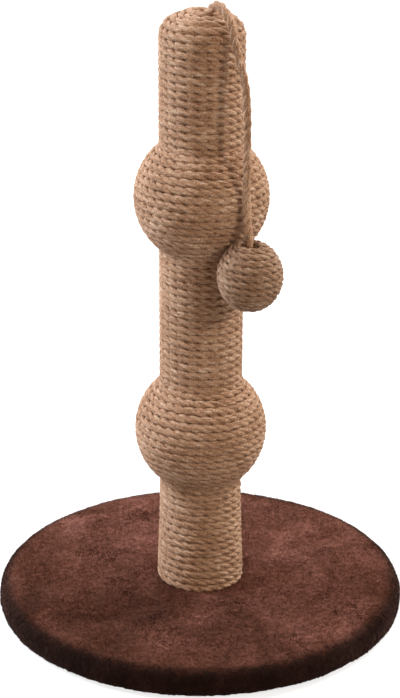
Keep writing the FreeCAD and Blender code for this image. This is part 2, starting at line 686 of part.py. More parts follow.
def ball_section(start_radius, end_radius, count=720):
    """Half section of the rope's middle over the ball, from the lower ring to the upper one."""
    points = []
    for i in range(count + 1):
        angle = -math.pi / 2 + math.pi * i / count
        normal = (math.cos(angle) / core_radius, math.sin(angle) / core_half_height)
        lift = toy_lift / math.hypot(*normal)
        points.append((core_radius * math.cos(angle) + lift * normal[0],
                       core_half_height * math.sin(angle) + lift * normal[1]))
    return [p for p in points if p[0] >= (start_radius if p[1] < 0 else end_radius)]


toy_rope = Winding(ball_section(size("sizes.toy_rope_bottom_radius"), size("sizes.toy_rope_top_radius")),
                   size("sizes.toy_rope_pitch"), size("sizes.toy_rope_end_pitch"),
                   size("sizes.toy_rope_end_pitch"), 0)
toy_winding = wound_tube("toy_winding", toy_rope, size("sizes.toy_rope_diameter"), 0, toy_rope.turns)
toy_winding.Placement = FreeCAD.Placement(Vector(0, -toy_reach, toy_level), FreeCAD.Rotation())

# ---------------------------------------------------------------------------------------
# Cord of the toy, from its knot in the post to its knot in the ball
# ---------------------------------------------------------------------------------------
cord_radius = size("sizes.cord_diameter") / 2
joint_gap = size("sizes.cord_joint_gap")


def knot(name, x, y, top):
    """A stopper knot as two loops on each other, with its upper side at the level top."""
    loops = []
    for i in range(2):
        loop = doc.addObject("Part::Torus", f"{name}_loop_{i + 1}")
        loop.setExpression("Radius1", "sizes.knot_ring_radius")
        loop.setExpression("Radius2", "sizes.cord_diameter / 2")
        level = top - cord_radius - i * size("sizes.knot_loop_spacing")
        loop.Placement = FreeCAD.Placement(Vector(x, y, level), FreeCAD.Rotation())
        loops.append(loop)
    joined(name, "Part::Fuse", *loops)


def cord_tube(name, route, round_start=False):
    """Straight runs through the route's points, joined by arcs as large as the runs allow."""
    points = [Vector(*point) for point in route]
    curves = []
    radii = []
    here = points[0]
    for before, corner, after in zip(points, points[1:], points[2:]):
        run = min(before.distanceToPoint(corner), corner.distanceToPoint(after))
        incoming = (corner - before).normalize()
        outgoing = (after - corner).normalize()
        half_turn = incoming.getAngle(outgoing) / 2
        cut = 0.45 * run
        radii.append(cut / math.tan(half_turn))
        start = corner - incoming * cut
        end = corner + outgoing * cut
        curves.append(Part.LineSegment(here, start))
        curves.append(arc_from(start, incoming, end))
        here = end
    curves.append(Part.LineSegment(here, points[-1]))
    wire = Part.Wire([curve.toShape() for curve in curves])
    mouth = Part.Wire([Part.makeCircle(cord_radius, points[0], points[1] - points[0])])
    tube = wire.makePipeShell([mouth], True, False)
    expected = math.pi * cord_radius ** 2 * wire.Length
    if abs(tube.Volume / expected - 1) > 0.001:
        raise ValueError(f"{name}: volume {tube.Volume:.1f}, and its section gives {expected:.1f}")
    if round_start:
        tube = tube.fuse(Part.makeSphere(cord_radius, points[0]))
    solid = doc.addObject("Part::Feature", name)
    solid.Label = name
    solid.Shape = tube
    solid.Placement = FreeCAD.Placement()
    print(f"{name}: {wire.Length:.1f} mm long, radii {', '.join(f'{r:.0f}' for r in radii)} mm")


def short_of(pivot, before):
    """The point where a stretch ends, clear of the round end that turns about the pivot."""
    pivot, before = Vector(*pivot), Vector(*before)
    return tuple(pivot + (before - pivot).normalize() * (cord_radius + joint_gap))


# Points (x, y, z) chosen along the cord. The toy hangs in front, so y is minus the reach. Levels
# are given from the top of the post, or from the middle of the upper bulge.
post_top = size("sizes.post_height")
bulge_level = size("sizes.upper_bulge_height")
beside = post_top - bulge_level
HOLE_SPLIT = post_top - 22
SHOULDER_PIVOT = (0, -37.5, post_top - 7.5)
BULGE_PIVOT = (0, -54.9, bulge_level)
ANCHOR_ROUTE = [(0, 0, HOLE_SPLIT - 24), (0.1, 0, HOLE_SPLIT - 12), (0, 0, HOLE_SPLIT)]
SADDLE_ROUTE = [
    (0, 0, HOLE_SPLIT + joint_gap), (0, 0, post_top - 7.5), (0, -3.6, post_top + 0.8),
    (0, -10.4, post_top + 6.2), (0, -19.5, post_top + 8.8), (0, -28.0, post_top + 6.2),
    (0, -33.8, post_top - 0.4),
]
UPPER_ROUTE = [
    SHOULDER_PIVOT, (0, -42.0, bulge_level + 0.8435 * beside), (0, -52.6, bulge_level + 0.7016 * beside),
    (0, -55.6, bulge_level + 0.5197 * beside), (0, -55.4, bulge_level + 0.2576 * beside),
]
LOWER_ROUTE = [
    BULGE_PIVOT, (0, -55.6, bulge_level - 9.6), (0, -toy_reach, bulge_level - 21.6),
]

knot_top = size(f"{TOP_PLUG_FOOT} - sizes.knot_clearance")
knot("cord_top_knot", 0, 0, knot_top)
cord_tube("cord_anchor", ANCHOR_ROUTE)
cord_tube("cord_saddle", SADDLE_ROUTE + [short_of(SHOULDER_PIVOT, SADDLE_ROUTE[-1])])
cord_tube("cord_upper", UPPER_ROUTE + [short_of(BULGE_PIVOT, UPPER_ROUTE[-1])], round_start=True)
toy_knot_top = toy_level + size("sizes.toy_pocket_depth - sizes.toy_core_half_height")
toy_knot_top -= size("sizes.knot_clearance")
knot("toy_knot", 0, -toy_reach, toy_knot_top)
cord_tube("cord_lower", LOWER_ROUTE + [(0, -toy_reach, toy_knot_top - cord_radius)], round_start=True)

# ---------------------------------------------------------------------------------------
# Tests and files
# ---------------------------------------------------------------------------------------
NODES = (
    "base_board", "base_plush_cover", "base_lining", "hem_staples", "lining_staples",
    "base_washer", "base_bolt", "post_tube", "bottom_plug", "tee_nut", "bottom_plug_nails",
    "top_plug", "top_plug_nails", "upper_bulge_form", "lower_bulge_form", *ROPE_NODES,
    "cord_top_knot", "cord_anchor", "cord_saddle", "cord_upper", "cord_lower",
    "toy_core", "toy_winding", "toy_knot",
)
doc.recompute()
for item in doc.Objects:
    if {"Invalid", "Error"} & set(item.State):
        raise ValueError(f"{item.Label} is {item.State}")
os.makedirs("parts", exist_ok=True)
for node in NODES:
    shape = doc.getObjectsByLabel(node)[0].Shape
    if shape.isNull() or not shape.isValid() or shape.Volume <= 0:
        raise ValueError(f"{node} has no sound shape")
    shape.exportStep(f"parts/{node}.step")
    print(f"{node}: {len(shape.Solids)} solid(s), {shape.Volume / 1000:.2f} cm3")
print(f"toy reach {toy_reach:.2f} mm, rope turns {rope.turns:.2f}")
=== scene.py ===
"""Cat scratching post: a plush-covered board, a jute-wound post with two bulges, and a jute ball
that hangs from the top on a cord of the same rope."""

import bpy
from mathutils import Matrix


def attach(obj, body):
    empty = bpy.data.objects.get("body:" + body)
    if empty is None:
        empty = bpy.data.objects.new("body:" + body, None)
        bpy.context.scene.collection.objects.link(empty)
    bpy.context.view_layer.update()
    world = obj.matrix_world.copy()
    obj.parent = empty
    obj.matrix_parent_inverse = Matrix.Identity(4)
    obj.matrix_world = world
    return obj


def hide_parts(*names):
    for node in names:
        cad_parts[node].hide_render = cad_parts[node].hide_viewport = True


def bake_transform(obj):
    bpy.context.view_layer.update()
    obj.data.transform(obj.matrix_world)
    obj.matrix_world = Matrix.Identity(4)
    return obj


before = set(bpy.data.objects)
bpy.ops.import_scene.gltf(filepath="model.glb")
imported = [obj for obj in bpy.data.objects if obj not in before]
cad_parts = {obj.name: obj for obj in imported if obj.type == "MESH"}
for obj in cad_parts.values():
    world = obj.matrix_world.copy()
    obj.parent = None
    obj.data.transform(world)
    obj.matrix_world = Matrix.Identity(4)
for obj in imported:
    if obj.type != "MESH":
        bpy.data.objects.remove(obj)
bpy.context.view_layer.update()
import math
import bpy
import numpy as np
from mathutils import Quaternion, Vector

# ---------------------------------------------------------------------------------------
# Base board
# A disc of 16 mm fibreboard, sawn round, with its upper edge eased and two holes drilled from
# below. It can't be seen once it is covered, apart from the wall of the bolt's counterbore.
# ---------------------------------------------------------------------------------------


def linear(code):
    """sRGB hex to linear: c / 12.92 up to 0.04045, and ((c + 0.055) / 1.055) ^ 2.4 above it."""
    channels = np.array([int(code[i:i + 2], 16) for i in (1, 3, 5)]) / 255
    low, high = channels / 12.92, ((channels + 0.055) / 1.055) ** 2.4
    return (*np.where(channels <= 0.04045, low, high).tolist(), 1.0)


def add(tree, kind, sockets=None, **settings):
    """Add a node. Sockets gives values, colours or links by the name or number of the input."""
    node = tree.nodes.new("ShaderNode" + kind)
    for name, value in settings.items():
        setattr(node, name, value)
    for name, value in (sockets or {}).items():
        if isinstance(value, bpy.types.NodeSocket):
            tree.links.new(value, node.inputs[name])
        else:
            node.inputs[name].default_value = linear(value) if isinstance(value, str) else value
    return node


def new_material(name):
    """An empty material with its output node, as (material, tree, output)."""
    material = bpy.data.materials.new(name)
    material.use_nodes = True
    tree = material.node_tree
    tree.nodes.clear()
    return material, tree, add(tree, "OutputMaterial")


def blend_of_colours(tree, share, stops):
    """A colour ramp on share, whose stops are (position, sRGB hex)."""
    ramp = add(tree, "ValToRGB", {"Fac": share})
    while len(ramp.color_ramp.elements) < len(stops):
        ramp.color_ramp.elements.new(0.5)
    for element, (position, code) in zip(ramp.color_ramp.elements, stops):
        element.position = position
        element.color = linear(code)
    return ramp.outputs["Color"]


def finish_nodes(material, *names):
    """Give CAD nodes a material."""
    for name in names:
        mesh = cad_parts[name].data
        mesh.materials.clear()
        mesh.materials.append(material)


# Medium-density fibreboard, sawn and drilled: a fine brown felt of wood fibres about 0.5 mm
# long, dull, darker where the saw has burnished it.
fibreboard, tree, output = new_material("fibreboard_sawn")
place = add(tree, "TexCoord").outputs["Object"]
fibres = add(tree, "TexNoise", {"Vector": place, "Scale": 1900.0, "Detail": 3.0, "Roughness": 0.7})
clouds = add(tree, "TexNoise", {"Vector": place, "Scale": 60.0, "Detail": 2.0})
mixed = add(tree, "Math", {0: fibres.outputs["Fac"], 1: clouds.outputs["Fac"]}, operation="MULTIPLY")
colour = blend_of_colours(tree, mixed.outputs[0], ((0.12, "#7d5c38"), (0.26, "#a07a4d"), (0.42, "#b9945f")))
bump = add(tree, "Bump", {"Height": fibres.outputs["Fac"], "Distance": 0.0002, "Strength": 0.5})
shader = add(tree, "BsdfPrincipled", {
    "Base Color": colour, "Roughness": 0.8, "IOR": 1.48, "Normal": bump.outputs["Normal"]})
tree.links.new(shader.outputs[0], output.inputs["Surface"])
finish_nodes(fibreboard, "base_board")

# ---------------------------------------------------------------------------------------
# Plush cover
# One disc of short-pile plush, pulled over the board and round its edge, and stapled to the
# underside. The post presses it flat, and the pile lies in brushed patches.
# ---------------------------------------------------------------------------------------
MM = 0.001
BOARD_RADIUS, BOARD_FOOT, BOARD_TOP = 157 * MM, 3.0 * MM, 19 * MM
PLUSH_RADIUS, PLUSH_FOOT, PLUSH_TOP, DENT_LEVEL = 160 * MM, 1.4 * MM, 22 * MM, 20.2 * MM
DENT_RADIUS, BOLT_HOLE, HEM_INSIDE = 31.85 * MM, 9 * MM, 133 * MM


def new_piece(name, points, faces, body, material, uv=None, smooth=True):
    """A mesh piece from arrays: points (n, 3), faces (m, 3 or 4), and uv (n, 2) for each point."""
    mesh = bpy.data.meshes.new(name)
    points, faces = np.asarray(points, np.float32), np.asarray(faces, np.int32)
    corners = faces.shape[1]
    mesh.vertices.add(len(points))
    mesh.vertices.foreach_set("co", points.ravel())
    mesh.loops.add(faces.size)
    mesh.loops.foreach_set("vertex_index", faces.ravel())
    mesh.polygons.add(len(faces))
    mesh.polygons.foreach_set("loop_start", np.arange(0, faces.size, corners, dtype=np.int32))
    mesh.polygons.foreach_set("use_smooth", np.full(len(faces), smooth))
    if uv is not None:
        layer = mesh.uv_layers.new(name="UVMap")
        layer.data.foreach_set("uv", np.asarray(uv, np.float32)[faces.ravel()].ravel())
    mesh.update()
    mesh.validate()
    mesh.materials.append(material)
    piece = bpy.data.objects.new(name, mesh)
    bpy.context.scene.collection.objects.link(piece)
    if body:
        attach(piece, body)
    return piece


def waves(points, longest, shortest, seed, count=28):
    """Smooth noise from -1 to 1: the sum of count sine waves of random heading and phase."""
    rng = np.random.default_rng(seed)
    headings = rng.normal(size=(count, points.shape[1]))
    headings /= np.linalg.norm(headings, axis=1)[:, None]
    lengths = np.exp(rng.uniform(np.log(shortest), np.log(longest), count))
    turns = 2 * math.pi * headings / lengths[:, None]
    total = np.sin(points @ turns.T + rng.uniform(0, 2 * math.pi, count)).sum(axis=1)
    return np.clip(total / math.sqrt(count / 2) / 2.4, -1, 1)


def stepped(corners, spacing):
    """Points along straight lines between (radius, level) corners, no further apart than spacing."""
    corners = np.asarray(corners, float)
    parts = []
    for start, end in zip(corners[:-1], corners[1:]):
        count = max(1, math.ceil(np.linalg.norm(end - start) / spacing))
        parts.append(start + (end - start) * np.arange(count)[:, None] / count)
    return np.vstack(parts + [corners[-1:]])


def arc(middle, radius, start, stop, spacing):
    """Points of a circle's arc: middle + radius * (cos a, sin a), for a from start to stop."""
    count = max(2, math.ceil(abs(stop - start) * radius / spacing))
    angles = np.linspace(start, stop, count + 1)
    return np.column_stack([middle[0] + radius * np.cos(angles), middle[1] + radius * np.sin(angles)])


# The cover's outer side, from the bolt's hole over the rim to the hem under the board
RIM, HEM = 11 * MM, 5 * MM
outer = np.vstack([
    stepped([(BOLT_HOLE, BOARD_TOP), (BOLT_HOLE, DENT_LEVEL), (DENT_RADIUS, DENT_LEVEL),
             (DENT_RADIUS, PLUSH_TOP - 0.8 * MM)], 2.2 * MM),
    arc((DENT_RADIUS + 0.8 * MM, PLUSH_TOP - 0.8 * MM), 0.8 * MM, math.pi, math.pi / 2, 0.4 * MM)[1:-1],
    stepped([(DENT_RADIUS + 0.8 * MM, PLUSH_TOP), (PLUSH_RADIUS - RIM, PLUSH_TOP)], 1.7 * MM),
    arc((PLUSH_RADIUS - RIM, PLUSH_TOP - RIM), RIM, math.pi / 2, 0, 1.3 * MM)[1:],
    stepped([(PLUSH_RADIUS, PLUSH_TOP - RIM), (PLUSH_RADIUS, PLUSH_FOOT + HEM)], 1.5 * MM)[1:],
    arc((PLUSH_RADIUS - HEM, PLUSH_FOOT + HEM), HEM, 0, -math.pi / 2, 1.3 * MM)[1:],
    stepped([(PLUSH_RADIUS - HEM, PLUSH_FOOT), (HEM_INSIDE, PLUSH_FOOT)], 3 * MM)[1:],
])
inner = np.array([(HEM_INSIDE, BOARD_FOOT), (BOARD_RADIUS, BOARD_FOOT), (BOARD_RADIUS, BOARD_TOP - 4 * MM),
                  (BOARD_RADIUS - 1.2 * MM, BOARD_TOP - 1.2 * MM), (BOARD_RADIUS - 4 * MM, BOARD_TOP),
                  (90 * MM, BOARD_TOP), (DENT_RADIUS, BOARD_TOP)])
profile = np.vstack([outer, inner])
AROUND = 720
azimuths = np.arange(AROUND) * 2 * math.pi / AROUND


def turned(profile, azimuths):
    """A closed half section turned about Z: (r cos a, r sin a, z), rows by profile point."""
    r, z = profile[:, 0][:, None], profile[:, 1][:, None]
    grid = np.stack([r * np.cos(azimuths), r * np.sin(azimuths), z + 0 * azimuths], axis=2)
    return grid.reshape(-1, 3)


def ring_faces(rows, columns, closed_rows):
    """Quads between neighbouring rows of a grid whose columns close on themselves."""
    row = np.arange(rows if closed_rows else rows - 1)[:, None]
    column = np.arange(columns)[None, :]
    following, beside = (row + 1) % rows, (column + 1) % columns
    quads = np.stack([row * columns + column, following * columns + column,
                      following * columns + beside, row * columns + beside], axis=2)
    return quads.reshape(-1, 4)


def outward_of(profile):
    """Outward normals of a half section that runs clockwise: its tangent turned left, (-dz, dr)."""
    step = np.gradient(profile, axis=0)
    normals = np.column_stack([-step[:, 1], step[:, 0]])
    return normals / np.linalg.norm(normals, axis=1)[:, None]


def shared_out(values, columns):
    """Each row's value, repeated for every column of the grid."""
    return np.repeat(values, columns, axis=0)


cover = turned(profile, azimuths)
lift_row = np.zeros(len(profile))
lift_row[4:len(outer) - 8] = 1
lift_row = np.minimum(1, np.convolve(lift_row, np.ones(5) / 5, mode="same"))
normal_row = outward_of(profile)
normals = np.stack([shared_out(normal_row[:, 0], AROUND) * np.tile(np.cos(azimuths), len(profile)),
                    shared_out(normal_row[:, 0], AROUND) * np.tile(np.sin(azimuths), len(profile)),
                    shared_out(normal_row[:, 1], AROUND)], axis=1)
# The cover swells in waves 30 to 90 mm long, ripples in waves 6 to 20 mm long, and its pile
# clumps in waves 3 to 6 mm long, more so on the rim.
SWELL, RIPPLE, CLUMP, PRESSED = 0.45 * MM, 0.22 * MM, 0.16 * MM, 0.25 * MM
swell = SWELL * waves(cover, 0.09, 0.03, 1) + RIPPLE * waves(cover, 0.02, 0.006, 2) - PRESSED
clump = CLUMP * waves(cover, 0.006, 0.003, 3, 40)
rim_share = np.clip((np.hypot(cover[:, 0], cover[:, 1]) - 0.150) / 0.008, 0, 1)
clump = clump * (1 + 1.2 * rim_share)
cover += normals * ((swell + clump) * shared_out(lift_row, AROUND))[:, None]


# Spots of painted shade and painted light on the plush: the middle, the radius, and the amount,
# below 0 for painted shade and above 0 for painted light.
PAINTED_SPOTS = (((-0.112, -0.012, 0.022), 0.085, -0.13), ((0.035, 0.150, 0.022), 0.11, 0.09))


def plush_finish(name, uv_speck):
    """Plush in nap patches 20 to 60 mm wide, tufts 4 mm wide and specks 1 mm wide. On the
    pile, each blade has its own shade of colour, read from its uv. From 146 to 157 mm out,
    over the rim's side, the colour is darkened as painted shade. Painted shade also darkens
    a spot at the front left, and painted light lightens a spot at the back left."""
    material, tree, output = new_material(name)
    place = add(tree, "TexCoord").outputs["Object"]
    nap = add(tree, "TexNoise", {
        "Vector": place, "Scale": 20.0, "Detail": 3.0, "Roughness": 0.55, "Distortion": 0.8})
    tufts = add(tree, "TexNoise", {"Vector": place, "Scale": 230.0, "Detail": 3.0, "Roughness": 0.6})
    if uv_speck:
        speck = add(tree, "TexWhiteNoise", {"Vector": add(tree, "UVMap", uv_map="UVMap").outputs[0]},
                    noise_dimensions="2D").outputs["Value"]
    else:
        speck = add(tree, "TexNoise", {
            "Vector": place, "Scale": 900.0, "Detail": 2.0, "Roughness": 0.7}).outputs["Fac"]
    share = add(tree, "Math", {0: nap.outputs["Fac"], 1: 0.42}, operation="MULTIPLY")
    share = add(tree, "Math", {0: tufts.outputs["Fac"], 1: 0.33, 2: share.outputs[0]}, operation="MULTIPLY_ADD")
    share = add(tree, "Math", {0: speck, 1: 0.25, 2: share.outputs[0]}, operation="MULTIPLY_ADD")
    # Painted shade darkens a spot at the front left, and painted light lightens a spot at the back left.
    for spot, size, amount in PAINTED_SPOTS:
        painted_spot = add(tree, "Mapping", {"Vector": place, "Location": [-part / size for part in spot],
                                        "Scale": (1 / size, 1 / size, 1 / size)})
        painted_spot = add(tree, "TexGradient", {"Vector": painted_spot.outputs[0]}, gradient_type="SPHERICAL")
        share = add(tree, "Math", {0: painted_spot.outputs["Fac"], 1: amount, 2: share.outputs[0]},
                    operation="MULTIPLY_ADD")
    colour = blend_of_colours(tree, share.outputs[0], (
        (0.34, "#31170f"), (0.46, "#4d2c1e"), (0.54, "#623b30"), (0.68, "#8c5f53")))
    # Painted shade over the rim's side: from 146 to 157 mm out the colour is darkened to 0.13.
    flat = add(tree, "Mapping", {"Vector": place, "Scale": (1.0, 1.0, 0.0)})
    reach = add(tree, "VectorMath", {0: flat.outputs[0]}, operation="LENGTH").outputs["Value"]
    reach = add(tree, "Math", {0: tufts.outputs["Fac"], 1: 0.018, 2: reach}, operation="MULTIPLY_ADD")
    painted_rim_shade = add(tree, "MapRange", {"Value": reach.outputs[0], "From Min": 0.1555, "From Max": 0.166,
                                   "To Min": 1.0, "To Max": 0.13}, interpolation_type="SMOOTHSTEP")
    colour = add(tree, "VectorMath", {0: colour, 1: painted_rim_shade.outputs["Result"]}, operation="MULTIPLY").outputs[0]
    height = add(tree, "Math", {0: tufts.outputs["Fac"], 1: 2.0, 2: speck}, operation="MULTIPLY_ADD")
    bump = add(tree, "Bump", {
        "Height": height.outputs[0], "Distance": 0.0006, "Strength": 0.0 if uv_speck else 0.6})
    shader = add(tree, "BsdfPrincipled", {
        "Base Color": colour, "Roughness": 0.95, "IOR": 1.45, "Specular IOR Level": 0.1,
        "Sheen Weight": 0.3, "Sheen Roughness": 0.4, "Sheen Tint": "#b98a7c", "Normal": bump.outputs["Normal"]})
    tree.links.new(shader.outputs[0], output.inputs["Surface"])
    return material


# Polyester plush, 3 mm pile, dyed chocolate brown: the pile's ends catch the light in a soft
# reddish sheen. Over the rim's side its colour is darkened nearly to black as painted shade.
plush, plush_pile = plush_finish("plush_chocolate", False), plush_finish("plush_pile_chocolate", True)

plush_cover = new_piece("plush_cover", cover, ring_faces(len(profile), AROUND, True), "post", plush)
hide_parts("base_plush_cover")

# Pile: blades of fibre that lean with the nap, one triangle each. They are wider than a real
# fibre so that a tuft of them still shows, and up to 40% shorter where the rim stretches them.
row_area = np.linalg.norm(np.diff(outer, axis=0), axis=1) * (outer[:-1, 0] + outer[1:, 0]) / 2
row_area *= (outer[:-1, 0] > DENT_RADIUS) & (np.arange(len(outer) - 1) < len(outer) - 12)
ROOTS, SHORTEST, LONGEST, SUNK = 60000, 1.2, 2.2, 0.25 * MM
for number in range(3):
    rng = np.random.default_rng(20 + number)
    rows = np.searchsorted(np.cumsum(row_area) / row_area.sum(), rng.uniform(0, 1, ROOTS))
    columns = rng.integers(0, AROUND, ROOTS)
    across, along = rng.uniform(0, 1, (2, ROOTS, 1))
    here, there = cover.reshape(-1, AROUND, 3)[rows, columns], cover.reshape(-1, AROUND, 3)[rows + 1, columns]
    here_next = cover.reshape(-1, AROUND, 3)[rows, (columns + 1) % AROUND]
    root = here + (there - here) * across + (here_next - here) * along
    up = normals.reshape(-1, AROUND, 3)[rows, columns]
    heading = 2.2 + 1.6 * waves(root, 0.12, 0.04, 5) + 0.9 * waves(root, 0.025, 0.012, 6)
    heading += rng.normal(0, 0.5, ROOTS)
    lean = np.column_stack([np.cos(heading), np.sin(heading), -0.35 * np.hypot(up[:, 0], up[:, 1])])
    lean -= up * (lean * up).sum(axis=1)[:, None]
    lean /= np.linalg.norm(lean, axis=1)[:, None]
    tilt = rng.uniform(0.5, 1.1, ROOTS)[:, None]
    direction = up * np.cos(tilt) + lean * np.sin(tilt)
    side = np.cross(up, direction)
    side /= np.linalg.norm(side, axis=1)[:, None]
    edge = np.clip((np.hypot(root[:, 0], root[:, 1]) - 0.153) / 0.006, 0, 1)[:, None]
    length = rng.uniform(SHORTEST, LONGEST, ROOTS)[:, None] * MM * (1 - 0.4 * edge)
    width = rng.uniform(0.20, 0.34, ROOTS)[:, None] * MM
    root = root - up * SUNK
    blade = np.stack([root + side * width, root - side * width, root + direction * length], axis=1)
    uv = np.repeat(rng.uniform(0, 100, (ROOTS, 2)), 3, axis=0)
    new_piece(
        f"plush_pile_{number + 1}", blade.reshape(-1, 3), np.arange(3 * ROOTS).reshape(-1, 3), "post",
        plush_pile, uv, smooth=False)

# ---------------------------------------------------------------------------------------
# Lining under the base
# A disc of black needle felt over the cover's hem, stapled flat. It is 1.4 mm thick, and its
# fibres make it slightly lumpy.
# ---------------------------------------------------------------------------------------
felt, tree, output = new_material("needle_felt_black")
place = add(tree, "TexCoord").outputs["Object"]
fibres = add(tree, "TexNoise", {
    "Vector": place, "Scale": 1400.0, "Detail": 4.0, "Roughness": 0.7, "Distortion": 1.0})
lumps = add(tree, "TexNoise", {"Vector": place, "Scale": 90.0, "Detail": 2.0})
colour = blend_of_colours(tree, fibres.outputs["Fac"], (
    (0.35, "#0c0b0b"), (0.55, "#1e1c1b"), (0.75, "#3a3735")))
height = add(tree, "Math", {0: lumps.outputs["Fac"], 1: 2.0, 2: fibres.outputs["Fac"]},
             operation="MULTIPLY_ADD")
bump = add(tree, "Bump", {"Height": height.outputs[0], "Distance": 0.0003, "Strength": 0.7})
shader = add(tree, "BsdfPrincipled", {
    "Base Color": colour, "Roughness": 0.95, "IOR": 1.45, "Specular IOR Level": 0.2,
    "Sheen Weight": 0.3, "Sheen Roughness": 0.6, "Normal": bump.outputs["Normal"]})
tree.links.new(shader.outputs[0], output.inputs["Surface"])

LINING_RADIUS, LINING_TOP, LINING_AROUND = 150 * MM, 1.4 * MM, 240
STAPLE_RING, STAPLES = 146 * MM, 12
LUMP, PULL = 0.22 * MM, 0.1 * MM


def halved(quads):
    """Two triangles for each quad."""
    return np.vstack([quads[:, [0, 1, 2]], quads[:, [0, 2, 3]]])


def fan(centre, ring, outwards=True):
    """Triangles from one centre point to a ring of points."""
    beside = np.roll(ring, -1)
    middle = np.full(len(ring), centre)
    return np.column_stack([middle, ring, beside] if outwards else [middle, beside, ring])


lining_profile = np.vstack([
    stepped([(4 * MM, LINING_TOP), (LINING_RADIUS - 0.3 * MM, LINING_TOP)], 4 * MM),
    stepped([(LINING_RADIUS, LINING_TOP - 0.3 * MM), (LINING_RADIUS, 0.4 * MM)], 1 * MM),
    stepped([(LINING_RADIUS - 0.4 * MM, 0.0), (4 * MM, 0.0)], 2.4 * MM),
])
lining_azimuths = np.arange(LINING_AROUND) * 2 * math.pi / LINING_AROUND
sheet_points = turned(lining_profile, lining_azimuths)
reach = np.hypot(*sheet_points[:, :2].T)
underside = (sheet_points[:, 2] < 0.2 * MM) & (reach < LINING_RADIUS - 1.5 * MM)
# Each staple pulls the felt up by PULL exp(-d^2), where d is the distance from it over 9 mm
# along the ring and over 4 mm across it.
azimuth = np.arctan2(sheet_points[:, 1], sheet_points[:, 0])
from_staple = np.abs((azimuth * STAPLES / (2 * math.pi) + 0.5) % 1 - 0.5)
from_staple = np.hypot(from_staple * 2 * math.pi * STAPLE_RING / STAPLES / 9e-3, (reach - STAPLE_RING) / 4e-3)
sheet_points[:, 2] += underside * (LUMP * (1 + waves(sheet_points, 0.06, 0.015, 7))
                                   + PULL * np.exp(-from_staple ** 2))
count = len(sheet_points)
sheet_points = np.vstack([sheet_points, [(0, 0, LINING_TOP), (0, 0, 0.2 * MM)]])
sheet_faces = np.vstack([
    halved(ring_faces(len(lining_profile), LINING_AROUND, False)),
    fan(count, np.arange(LINING_AROUND)),
    fan(count + 1, np.arange(count - LINING_AROUND, count), outwards=False),
])
lining = new_piece("felt_lining", sheet_points, sheet_faces, "post", felt)
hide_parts("base_lining")

# ---------------------------------------------------------------------------------------
# Fasteners
# Staples, washer, bolt, tee nut and nails, all zinc-plated steel wire, sheet and bar. The felt
# and the plush cover most of them.
# ---------------------------------------------------------------------------------------
# Zinc plating on steel: bright, slightly blue and cloudy, with fine draw marks.
zinc, tree, output = new_material("zinc_plated_steel")
place = add(tree, "TexCoord").outputs["Object"]
clouds = add(tree, "TexNoise", {"Vector": place, "Scale": 420.0, "Detail": 3.0})
colour = blend_of_colours(tree, clouds.outputs["Fac"], ((0.3, "#a9adb2"), (0.5, "#c3c6c9"), (0.7, "#d4d3cd")))
rough = add(tree, "MapRange", {"Value": clouds.outputs["Fac"], "To Min": 0.28, "To Max": 0.46})
marks = add(tree, "TexNoise", {"Vector": place, "Scale": 3000.0, "Detail": 2.0})
bump = add(tree, "Bump", {"Height": marks.outputs["Fac"], "Distance": 0.00004, "Strength": 0.4})
shader = add(tree, "BsdfPrincipled", {
    "Base Color": colour, "Metallic": 1.0, "Roughness": rough.outputs["Result"],
    "Normal": bump.outputs["Normal"]})
tree.links.new(shader.outputs[0], output.inputs["Surface"])
finish_nodes(zinc, "hem_staples", "lining_staples", "base_washer", "base_bolt", "tee_nut",
             "bottom_plug_nails", "top_plug_nails")

# ---------------------------------------------------------------------------------------
# Tube, plugs and bulge forms
# A spiral-wound cardboard tube on a turned pine plug, with a pine top plug that is rounded
# over, and two moulded foam balls threaded on the tube. The rope hides them all.
# ---------------------------------------------------------------------------------------
# Kraft board, wound from a strip: grey brown, with long paper fibres and the strip's seams
# every 70 mm.
kraft, tree, output = new_material("kraft_board_wound")
place = add(tree, "TexCoord").outputs["Object"]
fibres = add(tree, "TexNoise", {"Vector": place, "Scale": 1200.0, "Detail": 4.0, "Distortion": 0.8})
seams = add(tree, "TexWave", {"Vector": place, "Scale": 14.0 / (2 * math.pi), "Distortion": 0.4},
            bands_direction="Z", wave_profile="SAW")
colour = blend_of_colours(tree, fibres.outputs["Fac"], ((0.35, "#86673f"), (0.5, "#a07f55"), (0.68, "#b69669")))
height = add(tree, "Math", {0: seams.outputs["Fac"], 1: 0.5, 2: fibres.outputs["Fac"]},
             operation="MULTIPLY_ADD")
bump = add(tree, "Bump", {"Height": height.outputs[0], "Distance": 0.0001, "Strength": 0.5})
shader = add(tree, "BsdfPrincipled", {
    "Base Color": colour, "Roughness": 0.85, "IOR": 1.5, "Normal": bump.outputs["Normal"]})
tree.links.new(shader.outputs[0], output.inputs["Surface"])
finish_nodes(kraft, "post_tube")

# Pine, turned: pale straw wood with darker rings about 3 mm apart along its grain.
pine, tree, output = new_material("pine_turned")
place = add(tree, "TexCoord").outputs["Object"]
grain = add(tree, "Mapping", {"Vector": place, "Scale": (1.0, 1.0, 0.08)})
wander = add(tree, "TexNoise", {"Vector": grain.outputs[0], "Scale": 60.0, "Detail": 2.0})
rings = add(tree, "TexWave", {"Vector": grain.outputs[0], "Scale": 330.0 / (2 * math.pi), "Distortion": 3.0,
                              "Detail": 2.0}, bands_direction="X")
pores = add(tree, "TexNoise", {"Vector": grain.outputs[0], "Scale": 2200.0, "Detail": 2.0})
share = add(tree, "Math", {0: rings.outputs["Fac"], 1: wander.outputs["Fac"]}, operation="MULTIPLY")
colour = blend_of_colours(tree, share.outputs[0], ((0.1, "#d9b682"), (0.4, "#cda26a"), (0.7, "#b08449")))
bump = add(tree, "Bump", {"Height": pores.outputs["Fac"], "Distance": 0.0001, "Strength": 0.4})
shader = add(tree, "BsdfPrincipled", {
    "Base Color": colour, "Roughness": 0.6, "IOR": 1.5, "Normal": bump.outputs["Normal"]})
tree.links.new(shader.outputs[0], output.inputs["Surface"])
finish_nodes(pine, "bottom_plug", "top_plug")

